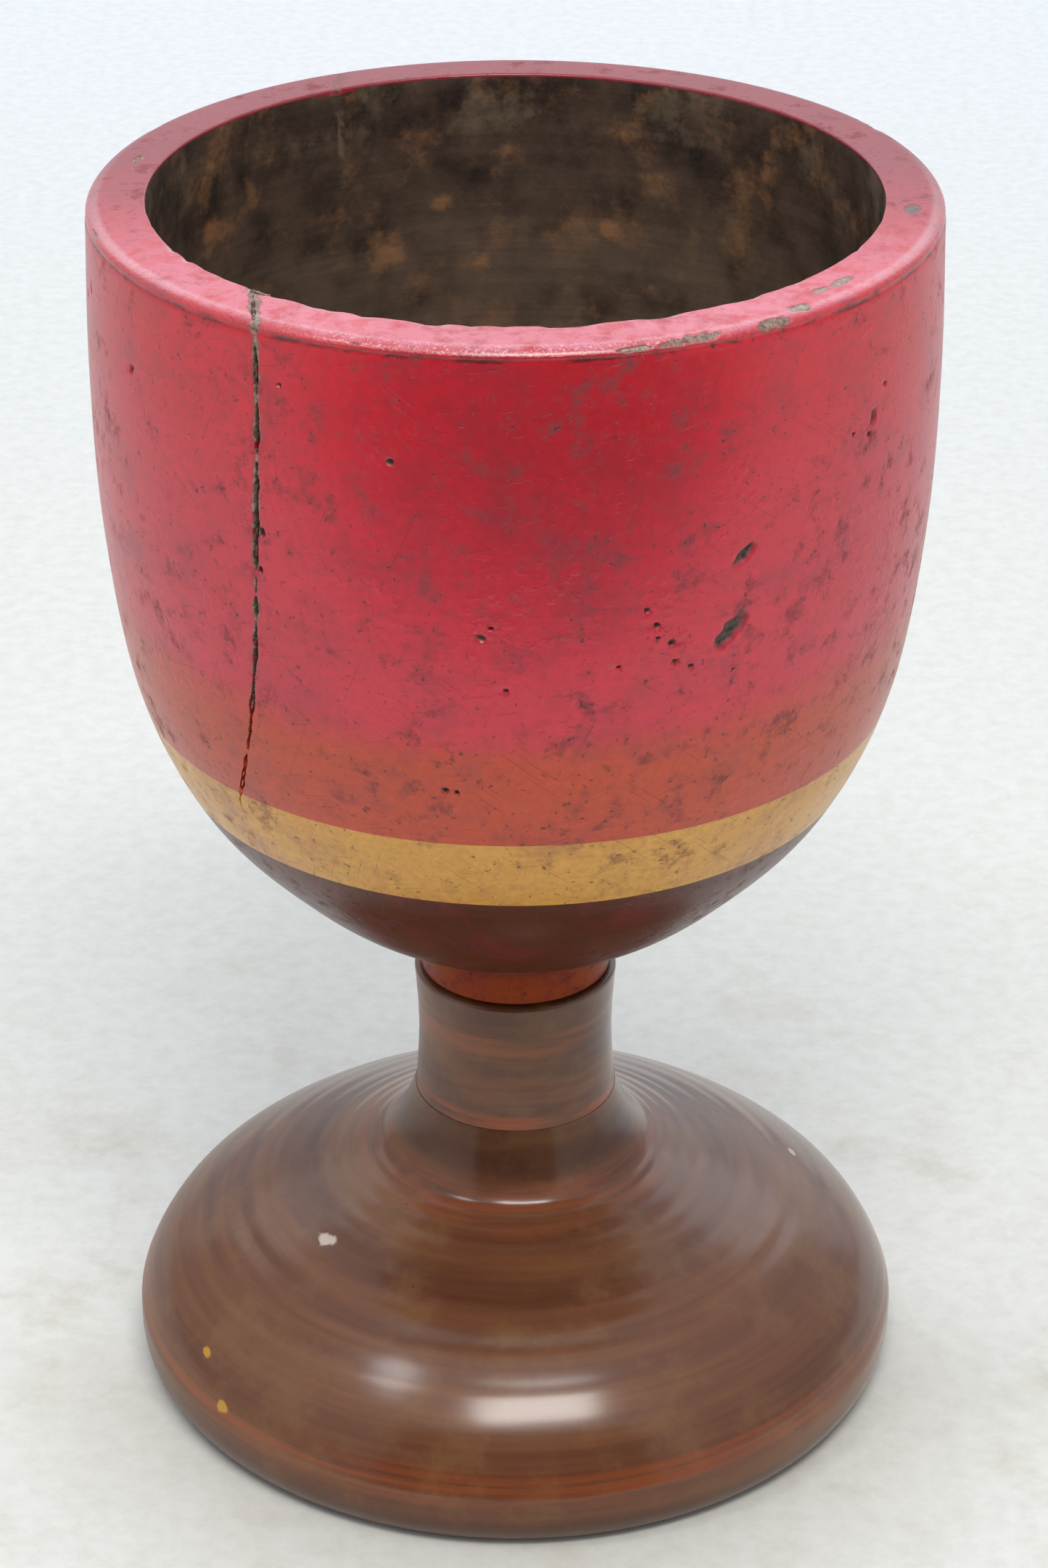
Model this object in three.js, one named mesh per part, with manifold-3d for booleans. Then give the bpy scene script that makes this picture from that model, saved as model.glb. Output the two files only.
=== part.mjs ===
// A communion chalice turned from wood and coated in lac: a deep bowl on a short stem and a domed foot.
// The stem is a spindle with a round tenon at each end. The upper tenon sits in a blind socket under the
// bowl and the lower one goes right through the foot. Each tenon's end has a saw kerf, and the wedge
// driven into the kerf spreads the tenon and locks the joint.
// Millimetres, +Z up. The origin is the middle of the standing ring, on the surface the chalice stands on.

import * as THREE from "three";
import { mergeVertices } from "three/addons/utils/BufferGeometryUtils.js";
import Module from "manifold-3d";

// ---- Driving dimensions ----

const FACE_GAP = 0.3; // glue line between two faces that meet
const TENON_CLEARANCE = 0.3; // radial room for a tenon in its hole
const KERF_CLEARANCE = 0.3; // room on each side of a wedge in its kerf

const BOWL = {
  bellyRadius: 50.4,
  height: 103, // from the seat on the stem to the rim
  wall: 7,
  rimTuck: 0.45, // how far the rim lies inside the belly
  rimEdge: 0.7, // rounding of the rim's outer edge
  innerRimEdge: 0.35, // rounding of the rim's inner edge
  neckStep: 0.8, // how far the turned neck under the bowl lies inside the stem's top
  neckHeight: 6.5,
  neckFillet: 2.2, // cove between the neck and the underside
  floorWood: 8, // wood between the cup's floor and the socket
  floorRise: 9, // height over which the wall turns into the floor
};

const STEM = {
  length: 17.7, // the part that shows between bowl and foot
  topRadius: 12.9,
  waistRadius: 12.45,
  bottomRadius: 12.7,
  edge: 0.7, // rounding of the shoulder under the bowl's neck
};

const FOOT = {
  radius: 49.7,
  height: 38,
  neckStep: 0.3, // how far the flare's top stands outside the stem's bottom
  edgeTuck: 1.7, // how far the standing edge lies inside the widest line
  standingRing: 8, // width of the ring that touches the table
  recessDepth: 3,
  recessSlope: 2.5, // run of the recess's turned wall
};

const TENON = {
  upperRadius: 8,
  upperLength: 14,
  lowerRadius: 9,
  chamfer: 0.8,
};

const WEDGE = {
  headThickness: 2.2,
  tipThickness: 0.8,
  length: 10.5,
  sideRoom: 1.2, // from the wedge's side to the round of the tenon
};

const KERF_OVERSHOOT = 1; // how far a kerf's cutter reaches past the side of the tenon

// The outlines' shapes: [share of the way from the neck's radius to the widest one, share of the height].
const BOWL_SHAPE = [
  [0.218, 0.04],
  [0.442, 0.107],
  [0.713, 0.223],
  [0.893, 0.378],
  [0.978, 0.585],
  [1, 0.793],
];
const FOOT_SHAPE = [
  [0.054, 0.876],
  [0.136, 0.782],
  [0.3, 0.705],
  [0.627, 0.568],
  [0.874, 0.395],
  [0.988, 0.228],
];
const FOOT_WIDEST = 0.134; // share of the height at which the foot is widest
const FOOT_EDGE_FULLNESS = 0.33; // share of that height over which the standing edge runs straight out

const ROUND_STEPS = 64; // flats round a turned piece
const OUTLINE_STEPS = 16; // flats along a long curve
const FLOOR_STEPS = 5;
const STEM_STEPS = 4;
const ARC_STEPS = 2;

// ---- Levels worked out from the dimensions ----

const stemBottom = FOOT.height + FACE_GAP;
const stemTop = stemBottom + STEM.length;
const bowlSeat = stemTop + FACE_GAP;
const rimTop = bowlSeat + BOWL.height;
const upperTenonTop = stemTop + TENON.upperLength;
const socketTop = upperTenonTop + FACE_GAP;
const cupFloor = socketTop + BOWL.floorWood;
const rimRadius = BOWL.bellyRadius - BOWL.rimTuck;
const bowlNeckRadius = STEM.topRadius - BOWL.neckStep;
const footNeckRadius = STEM.bottomRadius + FOOT.neckStep;
const footBaseRadius = FOOT.radius - FOOT.edgeTuck;

// ---- Materials ----

const redLac = new THREE.MeshStandardMaterial({ color: 0xb8324a, roughness: 0.34, metalness: 0 });
const brownLac = new THREE.MeshStandardMaterial({ color: 0x5e3322, roughness: 0.3, metalness: 0 });
const bareWood = new THREE.MeshStandardMaterial({ color: 0xa98458, roughness: 0.75, metalness: 0 });

// ---- Solids and cuts ----

const wasm = await Module();
wasm.setup();

// A closed geometry as a solid that can be cut.
function solidOf(geometry) {
  const bare = geometry.clone();
  bare.deleteAttribute("normal");
  bare.deleteAttribute("uv");
  const merged = mergeVertices(bare, 1e-4);
  return new wasm.Manifold(
    new wasm.Mesh({
      numProp: 3,
      vertProperties: new Float32Array(merged.attributes.position.array),
      triVerts: new Uint32Array(merged.index.array),
    }),
  );
}

// A solid as a geometry that a mesh can show.
function geometryOf(solid) {
  const { vertProperties, triVerts } = solid.getMesh();
  const geometry = new THREE.BufferGeometry();
  geometry.setAttribute("position", new THREE.BufferAttribute(vertProperties, 3));
  geometry.setIndex(new THREE.BufferAttribute(triVerts, 1));
  geometry.computeVertexNormals();
  return geometry;
}

// A round piece from its outline, given as points of radius and height with the wood on the left.
function turned(outline) {
  return new THREE.LatheGeometry(outline, ROUND_STEPS).rotateX(Math.PI / 2);
}

function point(radius, height) {
  return new THREE.Vector2(radius, height);
}

// A rounded corner: from one tangent point to another, both of them next to the sharp corner.
function roundedCorner(start, corner, end) {
  return new THREE.QuadraticBezierCurve(start, corner, end).getPoints(ARC_STEPS);
}

// A smooth outline through a few points.
function smooth(points, steps) {
  return new THREE.SplineCurve(points).getPoints(steps);
}

// ---- Bowl ----

// The outside of the bowl, from the cove above its neck to just under the rim's rounded edge.
function bowlOutside() {
  const bodyBottom = bowlSeat + BOWL.neckHeight;
  const bodyHeight = rimTop - bodyBottom;
  const root = point(bowlNeckRadius + BOWL.neckFillet, bodyBottom);
  const stations = BOWL_SHAPE.map(([out, up]) =>
    point(THREE.MathUtils.lerp(root.x, BOWL.bellyRadius, out), bodyBottom + up * bodyHeight),
  );
  const underRim = point(rimRadius, rimTop - BOWL.rimEdge);
  return smooth([root, ...stations, underRim], OUTLINE_STEPS);
}

// The cup's wall, one wall's thickness in from the outside, from the rim down to where the floor begins.
function cupWall(outside) {
  const lowest = cupFloor + BOWL.floorRise;
  const inner = [];
  for (let i = 1; i < outside.length - 1; i += 1) {
    const along = outside[i + 1].clone().sub(outside[i - 1]).normalize();
    const inwards = point(-along.y, along.x);
    inner.push(outside[i].clone().addScaledVector(inwards, BOWL.wall));
  }
  return inner.filter((place) => place.y > lowest).reverse();
}

function bowlGeometry() {
  const outside = bowlOutside();
  const wall = cupWall(outside);
  const socketRadius = TENON.upperRadius + TENON_CLEARANCE;
  const bodyBottom = bowlSeat + BOWL.neckHeight;
  const innerRimRadius = rimRadius - BOWL.wall;
  const cove = roundedCorner(
    point(bowlNeckRadius, bodyBottom - BOWL.neckFillet),
    point(bowlNeckRadius, bodyBottom),
    outside[0],
  );
  const outerEdge = roundedCorner(
    outside.at(-1),
    point(rimRadius, rimTop),
    point(rimRadius - BOWL.rimEdge, rimTop),
  );
  const innerEdge = roundedCorner(
    point(innerRimRadius + BOWL.innerRimEdge, rimTop),
    point(innerRimRadius, rimTop),
    point(innerRimRadius, rimTop - BOWL.innerRimEdge),
  );
  const last = wall.at(-1);
  const slope = last.clone().sub(wall.at(-2));
  const turnIn = point(last.x + (slope.x * (cupFloor - last.y)) / slope.y, cupFloor);
  const floorBend = new THREE.QuadraticBezierCurve(last, turnIn, point(0, cupFloor)).getPoints(FLOOR_STEPS);
  return turned([
    point(0, socketTop),
    point(socketRadius, socketTop),
    point(socketRadius, bowlSeat),
    point(bowlNeckRadius, bowlSeat),
    ...cove,
    ...outside.slice(1, -1),
    ...outerEdge,
    ...innerEdge,
    ...wall,
    ...floorBend.slice(1),
  ]);
}

// ---- Stem ----

// A flat block that tapers along Z, from its thick head at height 0 to its tip, with a given spare room.
function taperedBlock(width, room) {
  const head = WEDGE.headThickness / 2 + room;
  const tip = WEDGE.tipThickness / 2 + room;
  const outline = new THREE.Shape([
    point(-head, -room),
    point(head, -room),
    point(tip, WEDGE.length + room),
    point(-tip, WEDGE.length + room),
  ]);
  const block = new THREE.ExtrudeGeometry(outline, { depth: width, bevelEnabled: false });
  return block.translate(0, 0, -width / 2).rotateX(Math.PI / 2);
}

// The kerfs' cutters reach past the tenon's end and sides.
function kerf(tenonRadius) {
  return solidOf(taperedBlock(2 * (tenonRadius + KERF_OVERSHOOT), KERF_CLEARANCE));
}

function stemGeometry() {
  const { chamfer } = TENON;
  const side = smooth(
    [
      point(STEM.bottomRadius, stemBottom),
      point(STEM.waistRadius, stemBottom + STEM.length / 2),
      point(STEM.topRadius, stemTop - STEM.edge),
    ],
    STEM_STEPS,
  );
  const shoulder = roundedCorner(
    side.at(-1),
    point(STEM.topRadius, stemTop),
    point(STEM.topRadius - STEM.edge, stemTop),
  );
  const spindle = turned([
    point(0, FOOT.recessDepth),
    point(TENON.lowerRadius - chamfer, FOOT.recessDepth),
    point(TENON.lowerRadius, FOOT.recessDepth + chamfer),
    point(TENON.lowerRadius, stemBottom),
    ...side,
    ...shoulder.slice(1),
    point(TENON.upperRadius, stemTop),
    point(TENON.upperRadius, upperTenonTop - chamfer),
    point(TENON.upperRadius - chamfer, upperTenonTop),
    point(0, upperTenonTop),
  ]);
  const lowerKerf = kerf(TENON.lowerRadius).translate([0, 0, FOOT.recessDepth]);
  const upperKerf = kerf(TENON.upperRadius).rotate([180, 0, 0]).translate([0, 0, upperTenonTop]);
  return geometryOf(solidOf(spindle).subtract(lowerKerf).subtract(upperKerf));
}

// ---- Foot ----

function footGeometry() {
  const boreRadius = TENON.lowerRadius + TENON_CLEARANCE;
  const recessRadius = footBaseRadius - FOOT.standingRing;
  const neck = point(footNeckRadius, FOOT.height);
  const widest = point(FOOT.radius, FOOT_WIDEST * FOOT.height);
  const stations = FOOT_SHAPE.map(([out, up]) =>
    point(THREE.MathUtils.lerp(neck.x, widest.x, out), up * FOOT.height),
  );
  const dome = smooth([neck, ...stations, widest], OUTLINE_STEPS).reverse();
  const edge = new THREE.QuadraticBezierCurve(
    point(footBaseRadius, 0),
    point(FOOT.radius, FOOT_EDGE_FULLNESS * widest.y),
    widest,
  ).getPoints(ARC_STEPS);
  return turned([
    point(boreRadius, FOOT.recessDepth),
    point(recessRadius - FOOT.recessSlope, FOOT.recessDepth),
    point(recessRadius, 0),
    ...edge,
    ...dome.slice(1),
    point(boreRadius, FOOT.height),
    point(boreRadius, FOOT.recessDepth),
  ]);
}

// ---- Wedges ----

function wedgeGeometry(tenonRadius) {
  return taperedBlock(2 * (tenonRadius - WEDGE.sideRoom), 0);
}

// ---- Assembly ----

function piece(name, geometry, material) {
  const mesh = new THREE.Mesh(geometry, material.clone());
  mesh.name = name;
  return mesh;
}

const bowl = piece("bowl", bowlGeometry(), redLac);
const stem = piece("stem", stemGeometry(), brownLac);
const foot = piece("foot", footGeometry(), brownLac);

const footWedge = piece("foot_wedge", wedgeGeometry(TENON.lowerRadius), bareWood);
footWedge.position.z = FOOT.recessDepth;

const bowlWedge = piece("bowl_wedge", wedgeGeometry(TENON.upperRadius), bareWood);
bowlWedge.rotation.x = Math.PI;
bowlWedge.position.z = upperTenonTop;

const chalice = new THREE.Group();
chalice.add(bowl, stem, foot, footWedge, bowlWedge);

export default chalice;
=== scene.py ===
"""A communion chalice of turned wood in coloured lac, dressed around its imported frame.

The bowl, the stem and the foot are each drawn as a half section, spun round the Z axis and then worn:
the bowl is split in two places and its lac is pitted and chipped, and the foot carries its turning lines
and scuffs. Lengths are in metres, except where a name ends in _mm. Angles called azimuth are in degrees,
from the front (-Y), growing towards +X.
"""

import logging
import math
import random
from collections.abc import Callable, Iterator, Sequence
from contextlib import contextmanager
from dataclasses import dataclass, replace
from enum import Enum

import bmesh
import bpy
import numpy as np
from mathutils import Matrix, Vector, noise


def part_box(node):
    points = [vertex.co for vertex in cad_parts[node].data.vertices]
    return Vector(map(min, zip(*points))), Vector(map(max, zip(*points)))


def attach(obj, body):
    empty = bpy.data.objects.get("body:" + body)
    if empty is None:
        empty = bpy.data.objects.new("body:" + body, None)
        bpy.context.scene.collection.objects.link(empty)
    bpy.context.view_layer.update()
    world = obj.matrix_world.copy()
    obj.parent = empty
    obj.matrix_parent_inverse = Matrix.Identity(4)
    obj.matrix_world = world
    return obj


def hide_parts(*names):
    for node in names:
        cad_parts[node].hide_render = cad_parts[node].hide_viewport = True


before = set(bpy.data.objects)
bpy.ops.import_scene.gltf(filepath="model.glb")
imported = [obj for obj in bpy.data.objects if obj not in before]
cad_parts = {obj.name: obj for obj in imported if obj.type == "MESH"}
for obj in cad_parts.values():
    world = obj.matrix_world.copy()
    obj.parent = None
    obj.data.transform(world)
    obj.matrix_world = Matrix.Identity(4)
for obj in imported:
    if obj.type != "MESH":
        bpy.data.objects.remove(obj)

MM = 0.001
BODY = "root"
SAME_PLACE = 1e-6
LEAST_WEIGHT = 1e-4
FAR_MM = 99.0
WEDGE_INSET_MM = 1.2
PATTERN_RADIUS_MM = 45.0
WALL_RADIUS = 0.05
log = logging.getLogger("chalice")

Point = tuple[float, float]
Colour = tuple[float, float, float, float]
Places = np.ndarray
Test = Callable[[Places], np.ndarray]


class Wear(Enum):
    """The kinds of wear on a turned piece, each a number from 0 to 1 at every point of its surface."""

    SPLIT = "split"
    BARE = "bare"
    PIT = "pit"
    FLECK = "fleck"


class Slot(Enum):
    """The record's material slots."""

    RED_LAC = "red_lac_wood"
    BROWN_LAC = "brown_lac_wood"
    BARE_WOOD = "bare_wood"


def paint(red: int, green: int, blue: int) -> Colour:
    """Turns a colour as a painter reads it off a chart into the renderer's own numbers.

    Args:
        red: Red, from 0 to 255.
        green: Green, from 0 to 255.
        blue: Blue, from 0 to 255.

    Returns:
        The linear colour, with an alpha of 1.
    """
    linear = [((c / 255 + 0.055) / 1.055) ** 2.4 if c > 10 else c / 3294.6 for c in (red, green, blue)]
    return (linear[0], linear[1], linear[2], 1.0)


# ---- Outlines ----


def smooth(points: Sequence[Point], steps: int = 160) -> list[Point]:
    """Draws the smooth line through a few points.

    Args:
        points: The points, each a radius and a height.
        steps: How many stretches the line is cut into.

    Returns:
        The points along the line, with both ends.
    """
    line = []
    last = len(points) - 1
    for step in range(steps + 1):
        place = step * last / steps
        index = min(int(place), last - 1)
        t = place - index
        four = [points[max(0, min(last, index + k))] for k in (-1, 0, 1, 2)]
        line.append(tuple(_between(*[p[axis] for p in four], t) for axis in (0, 1)))
    return line


def _between(before: float, start: float, end: float, after: float, t: float) -> float:
    """Gives the value at t on the curve from start to end that keeps its neighbours' slopes."""
    slope_in, slope_out = (end - before) / 2, (after - start) / 2
    bend = (2 * start - 2 * end + slope_in + slope_out) * t**3
    return bend + (-3 * start + 3 * end - 2 * slope_in - slope_out) * t**2 + slope_in * t + start


def rounded(start: Point, corner: Point, end: Point, steps: int = 5) -> list[Point]:
    """Rounds a corner off between two points on its sides.

    Args:
        start: Where the rounding begins.
        corner: The sharp corner.
        end: Where the rounding ends.
        steps: How many flats it has.

    Returns:
        The points along the rounding, with both ends.
    """
    line = []
    for step in range(steps + 1):
        t = step / steps
        pulls = list(zip(((1 - t) ** 2, 2 * t * (1 - t), t**2), (start, corner, end)))
        line.append(tuple(sum(pull * point[axis] for pull, point in pulls) for axis in (0, 1)))
    return line


def run_of(line: np.ndarray) -> np.ndarray:
    """Gives how far along a line each of its points lies."""
    return np.concatenate([[0], np.cumsum(np.hypot(*np.diff(line, axis=0).T))])


def evenly(points: Sequence[Point], spacing: float) -> list[Point]:
    """Steps along a line at an even spacing, keeping its two ends.

    Args:
        points: The line.
        spacing: About how far apart the new points are.

    Returns:
        The new points.
    """
    line = np.array(points)
    run = run_of(line)
    stops = np.linspace(0, run[-1], max(1, round(run[-1] / spacing)) + 1)
    return [(float(np.interp(s, run, line[:, 0])), float(np.interp(s, run, line[:, 1]))) for s in stops]


def shifted(points: Sequence[Point], amount: Callable[[float, Point], float]) -> list[Point]:
    """Moves each point of a line to its right-hand side, which is out of the wood.

    Args:
        points: The line, with the wood on its left.
        amount: Gives the move for a distance along the line and a point.

    Returns:
        The moved line; its two ends stay.
    """
    line = np.array(points)
    run = run_of(line)
    moved = [tuple(line[0])]
    for i in range(1, len(line) - 1):
        along = line[i + 1] - line[i - 1]
        along = along / np.hypot(*along)
        out = np.array([along[1], -along[0]])
        moved.append(tuple(line[i] + out * amount(float(run[i]), tuple(line[i]))))
    return [*moved, tuple(line[-1])]


@dataclass(frozen=True)
class Ripple:
    """The shallow waves that a hand-held gouge leaves along a turned surface."""

    depth_mm: float = 0.05
    wave_mm: float = 3.1
    seed: float = 0.0

    def __call__(self, run: float, point: Point) -> float:
        """Gives the cut's depth, always into the wood, at a distance along the surface."""
        coarse = noise.noise(Vector((run / MM / self.wave_mm, self.seed, 0.0)))
        fine = noise.noise(Vector((run / MM / self.wave_mm * 2.7, self.seed, 9.0)))
        return -self.depth_mm * MM * (0.5 + 0.35 * coarse + 0.15 * fine)


@dataclass(frozen=True)
class Groove:
    """A line cut round a turned piece with the point of the tool."""

    radius_mm: float
    depth_mm: float
    width_mm: float

    def cut(self, point: Point) -> float:
        """Gives how far the groove cuts into the wood at a point."""
        off = (point[0] / MM - self.radius_mm) / self.width_mm
        return -self.depth_mm * MM * math.exp(-off * off)


# ---- The bench: what shapes a mesh ----


def take_up(piece: bpy.types.Object) -> None:
    """Selects one piece alone and makes it the active one."""
    bpy.ops.object.select_all(action="DESELECT")
    piece.select_set(True)
    bpy.context.view_layer.objects.active = piece


@contextmanager
def editing(piece: bpy.types.Object) -> Iterator[bmesh.types.BMesh]:
    """Opens one piece alone for editing, with nothing selected, and closes it again.

    Args:
        piece: The piece.

    Yields:
        The mesh as it is edited.
    """
    take_up(piece)
    bpy.ops.object.mode_set(mode="EDIT")
    bpy.ops.mesh.select_mode(type="VERT")
    bpy.ops.mesh.select_all(action="DESELECT")
    yield bmesh.from_edit_mesh(piece.data)
    bpy.ops.object.mode_set(mode="OBJECT")


def rows_of(items: bpy.types.bpy_prop_collection, what: str) -> Places:
    """Gives one triple of numbers for each item of a mesh, as rows."""
    flat = np.empty(len(items) * 3)
    items.foreach_get(what, flat)
    return flat.reshape(-1, 3)


def places_of(piece: bpy.types.Object) -> Places:
    """Gives every point of a piece as rows of X, Y and Z."""
    return rows_of(piece.data.vertices, "co")


def face_centres_of(piece: bpy.types.Object) -> Places:
    """Gives the middle of every face of a piece as rows of X, Y and Z."""
    return rows_of(piece.data.polygons, "center")


def turn(name: str, outline: Sequence[Point], steps: int, closed: bool = False) -> bpy.types.Object:
    """Turns a piece: a point is drawn out along the outline, and the line is spun once round the Z axis.

    Args:
        name: The piece's name.
        outline: Its half section, from the axis back to the axis, or all round where it is bored through.
        steps: How many flats it has round.
        closed: Whether the outline's end meets its start.

    Returns:
        The piece.
    """
    bpy.ops.object.select_all(action="DESELECT")
    bpy.ops.mesh.primitive_plane_add(size=MM, location=(outline[0][0], 0, outline[0][1]))
    piece = bpy.context.object
    piece.name = name
    with editing(piece):
        bpy.ops.mesh.select_all(action="SELECT")
        bpy.ops.mesh.merge(type="CENTER")
        for start, end in zip(outline, outline[1:]):
            step = (end[0] - start[0], 0, end[1] - start[1])
            bpy.ops.mesh.extrude_vertices_move(TRANSFORM_OT_translate={"value": step})
    bpy.ops.object.transform_apply(location=True, rotation=True, scale=True)
    with editing(piece):
        bpy.ops.mesh.select_all(action="SELECT")
        if closed:
            bpy.ops.mesh.remove_doubles(threshold=SAME_PLACE)
        bpy.ops.mesh.spin(steps=steps, angle=math.tau, center=(0, 0, 0), axis=(0, 0, 1))
        bpy.ops.mesh.select_all(action="SELECT")
        bpy.ops.mesh.remove_doubles(threshold=SAME_PLACE)
        bpy.ops.mesh.normals_make_consistent(inside=False)
    return piece


def refine(piece: bpy.types.Object, chosen: Test, cuts: int) -> None:
    """Cuts the faces in some places finer.

    Args:
        piece: The piece.
        chosen: Gives, for rows of places, which are to be finer.
        cuts: How many cuts each of their edges gets.
    """
    picks = np.flatnonzero(chosen(face_centres_of(piece)))
    with editing(piece) as mesh:
        bpy.ops.mesh.select_mode(type="FACE")
        mesh.faces.ensure_lookup_table()
        for index in picks:
            mesh.faces[int(index)].select_set(True)
        bmesh.update_edit_mesh(piece.data)
        bpy.ops.mesh.subdivide(number_cuts=cuts, ngon=False)


def sink(piece: bpy.types.Object, name: str, weights: np.ndarray, depth_mm: float) -> None:
    """Presses a surface in, as far as each point's weight says, and applies the modifier that does it.

    Args:
        piece: The piece.
        name: The name of the vertex group.
        weights: One number from 0 to 1 for each point.
        depth_mm: How deep a weight of 1 goes.
    """
    group = piece.vertex_groups.new(name=name)
    for index in np.flatnonzero(weights > LEAST_WEIGHT):
        group.add([int(index)], float(weights[index]), "REPLACE")
    press = piece.modifiers.new(name, "DISPLACE")
    press.vertex_group = name
    press.mid_level = 0.0
    press.strength = -depth_mm * MM
    apply_modifier(piece, press)


def level_off(piece: bpy.types.Object, height: float) -> None:
    """Planes off what stands above a height."""
    places = places_of(piece)
    places[:, 2] = np.minimum(places[:, 2], height)
    piece.data.vertices.foreach_set("co", places.ravel())
    piece.data.update()


def apply_modifier(piece: bpy.types.Object, modifier: bpy.types.Modifier) -> None:
    """Applies one modifier of a piece."""
    take_up(piece)
    bpy.ops.object.modifier_apply(modifier=modifier.name)


def mark(piece: bpy.types.Object, wear: Wear, values: np.ndarray) -> None:
    """Writes one kind of wear on a piece's points, where its material reads it."""
    layer = piece.data.attributes.new(wear.value, "FLOAT", "POINT")
    layer.data.foreach_set("value", np.clip(values, 0, 1).astype(np.float32))


def finish_shading(piece: bpy.types.Object, degrees: float = 38) -> None:
    """Shades a piece smooth, except across edges sharper than an angle."""
    take_up(piece)
    bpy.ops.object.shade_smooth_by_angle(angle=math.radians(degrees))


def install(piece: bpy.types.Object, node: str) -> None:
    """Puts a finished piece on its body in its CAD node's place, and hides the node."""
    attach(piece, BODY)
    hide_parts(node)
    triangles = sum(len(face.vertices) - 2 for face in piece.data.polygons)
    log.info("%s stands for %s: %d triangles", piece.name, node, triangles)


# ---- Numbers along a surface ----


def ramp(values: np.ndarray, low: float, high: float) -> np.ndarray:
    """Rises smoothly from 0 where the values are low to 1 where they are high."""
    t = np.clip((values - low) / (high - low), 0, 1)
    return t * t * (3 - 2 * t)


def rough(places: Places, size_mm: float, seed: float) -> np.ndarray:
    """Gives a smooth random number from about -1 to 1 at each place, with lumps of one size."""
    scale = 1 / (size_mm * MM)
    return np.array([noise.noise(Vector(p) * scale + Vector((seed, 0, 0))) for p in places])


def radii_of(places: Places) -> np.ndarray:
    """Gives each place's distance from the Z axis."""
    return np.hypot(places[:, 0], places[:, 1])


def azimuth_of(places: Places) -> np.ndarray:
    """Gives each place's angle round the Z axis, in degrees from the front."""
    return np.degrees(np.arctan2(places[:, 0], -places[:, 1]))


# ---- Wear ----


@dataclass(frozen=True)
class Split:
    """A crack along the grain, through the wall and over the rim.

    The crack lies in an upright sheet across the bowl: path_mm gives the sheet's X at a few heights. It
    leans over the rim, where it is half filled, and thins into dashes towards its foot.
    """

    path_mm: tuple[Point, ...]
    side: int
    slant: float
    width_mm: float
    depth_mm: float
    foot_mm: float
    seed: float
    darkness: float = 1.0
    reach_mm: float = 2.4
    fade_mm: float = 46.0
    leaning_mm: Point = (150.0, 158.0)
    rim_mm: Point = (154.0, 158.8)
    filled_mm: Point = (157.4, 158.8)
    mouth_mm: float = 41.0
    outer_wood_mm: float = 5.0

    def distance_mm(self, places: Places) -> np.ndarray:
        """Gives how far each place is from the crack's middle, and FAR_MM on the other side."""
        heights = np.array([p[0] for p in self.path_mm])[::-1]
        across = np.array([p[1] for p in self.path_mm])[::-1]
        x, y, z = (places / MM).T
        lean = self.slant * ramp(z, *self.leaning_mm)
        middle = np.interp(z, heights, across) + lean * (y - self.side * self.mouth_mm)
        return np.where(y * self.side > 0, np.abs(x - middle), FAR_MM)

    def near(self, reach_mm: float, inside_from_mm: float = 0.0) -> Test:
        """Gives a test for the places within reach of the crack.

        Args:
            reach_mm: How far from its middle they lie at most.
            inside_from_mm: The height below which the cup's inside is left out.

        Returns:
            The test, which takes rows of places.
        """

        def test(places: Places) -> np.ndarray:
            above_foot = places[:, 2] > (self.foot_mm - 1) * MM
            outer = radii_of(places) > LEVELS.belly - self.outer_wood_mm * MM
            shown = outer | (places[:, 2] > inside_from_mm * MM)
            return (self.distance_mm(places) < reach_mm) & above_foot & shown

        return test

    def weights(self, places: Places) -> tuple[np.ndarray, np.ndarray]:
        """Works out the crack's depth and its chipped edges.

        Args:
            places: The surface's points.

        Returns:
            Two rows from 0 to 1: how deep each point lies in the crack, and how bare its lac is.
        """
        depth, bare = np.zeros(len(places)), np.zeros(len(places))
        picks = np.flatnonzero(self.near(self.reach_mm)(places))
        spots = places[picks]
        up = spots[:, 2] / MM
        drift = 0.26 * rough(spots, 4.0, self.seed) + 0.16 * rough(spots, 1.3, self.seed + 5)
        off = np.abs(self.distance_mm(spots) + drift)
        fade = ramp(up, self.foot_mm, self.foot_mm + self.fade_mm)
        dashes = ramp(rough(spots, 2.6, self.seed + 31), -0.45, 0.1)
        whole = 1 - (1 - fade) * (1 - dashes)
        uneven = 1 + 0.5 * rough(spots, 5.0, self.seed + 11) + 0.34 * rough(spots, 1.1, self.seed + 13)
        half = self.width_mm / 2 * (0.3 + 0.7 * fade) * uneven
        filled = 1 - 0.7 * ramp(up, *self.filled_mm)
        opened = ramp(fade, 0, 0.06) * whole * self.darkness * filled
        depth[picks] = (1 - ramp(off, half * 0.5, half * 1.2)) * opened
        near_rim = ramp(up, *self.rim_mm)
        ragged = 0.5 + 0.9 * rough(spots, 1.4, self.seed + 21) + 0.4 * near_rim
        edge = half + (0.3 + 0.3 * near_rim) * ragged
        shows = ramp(fade, 0.1, 0.7) * (1 - 0.8 * near_rim * (1 - self.darkness))
        bare[picks] = (1 - ramp(off, edge * 0.8, edge * 1.15)) * (edge > half) * shows
        return depth, bare


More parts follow.
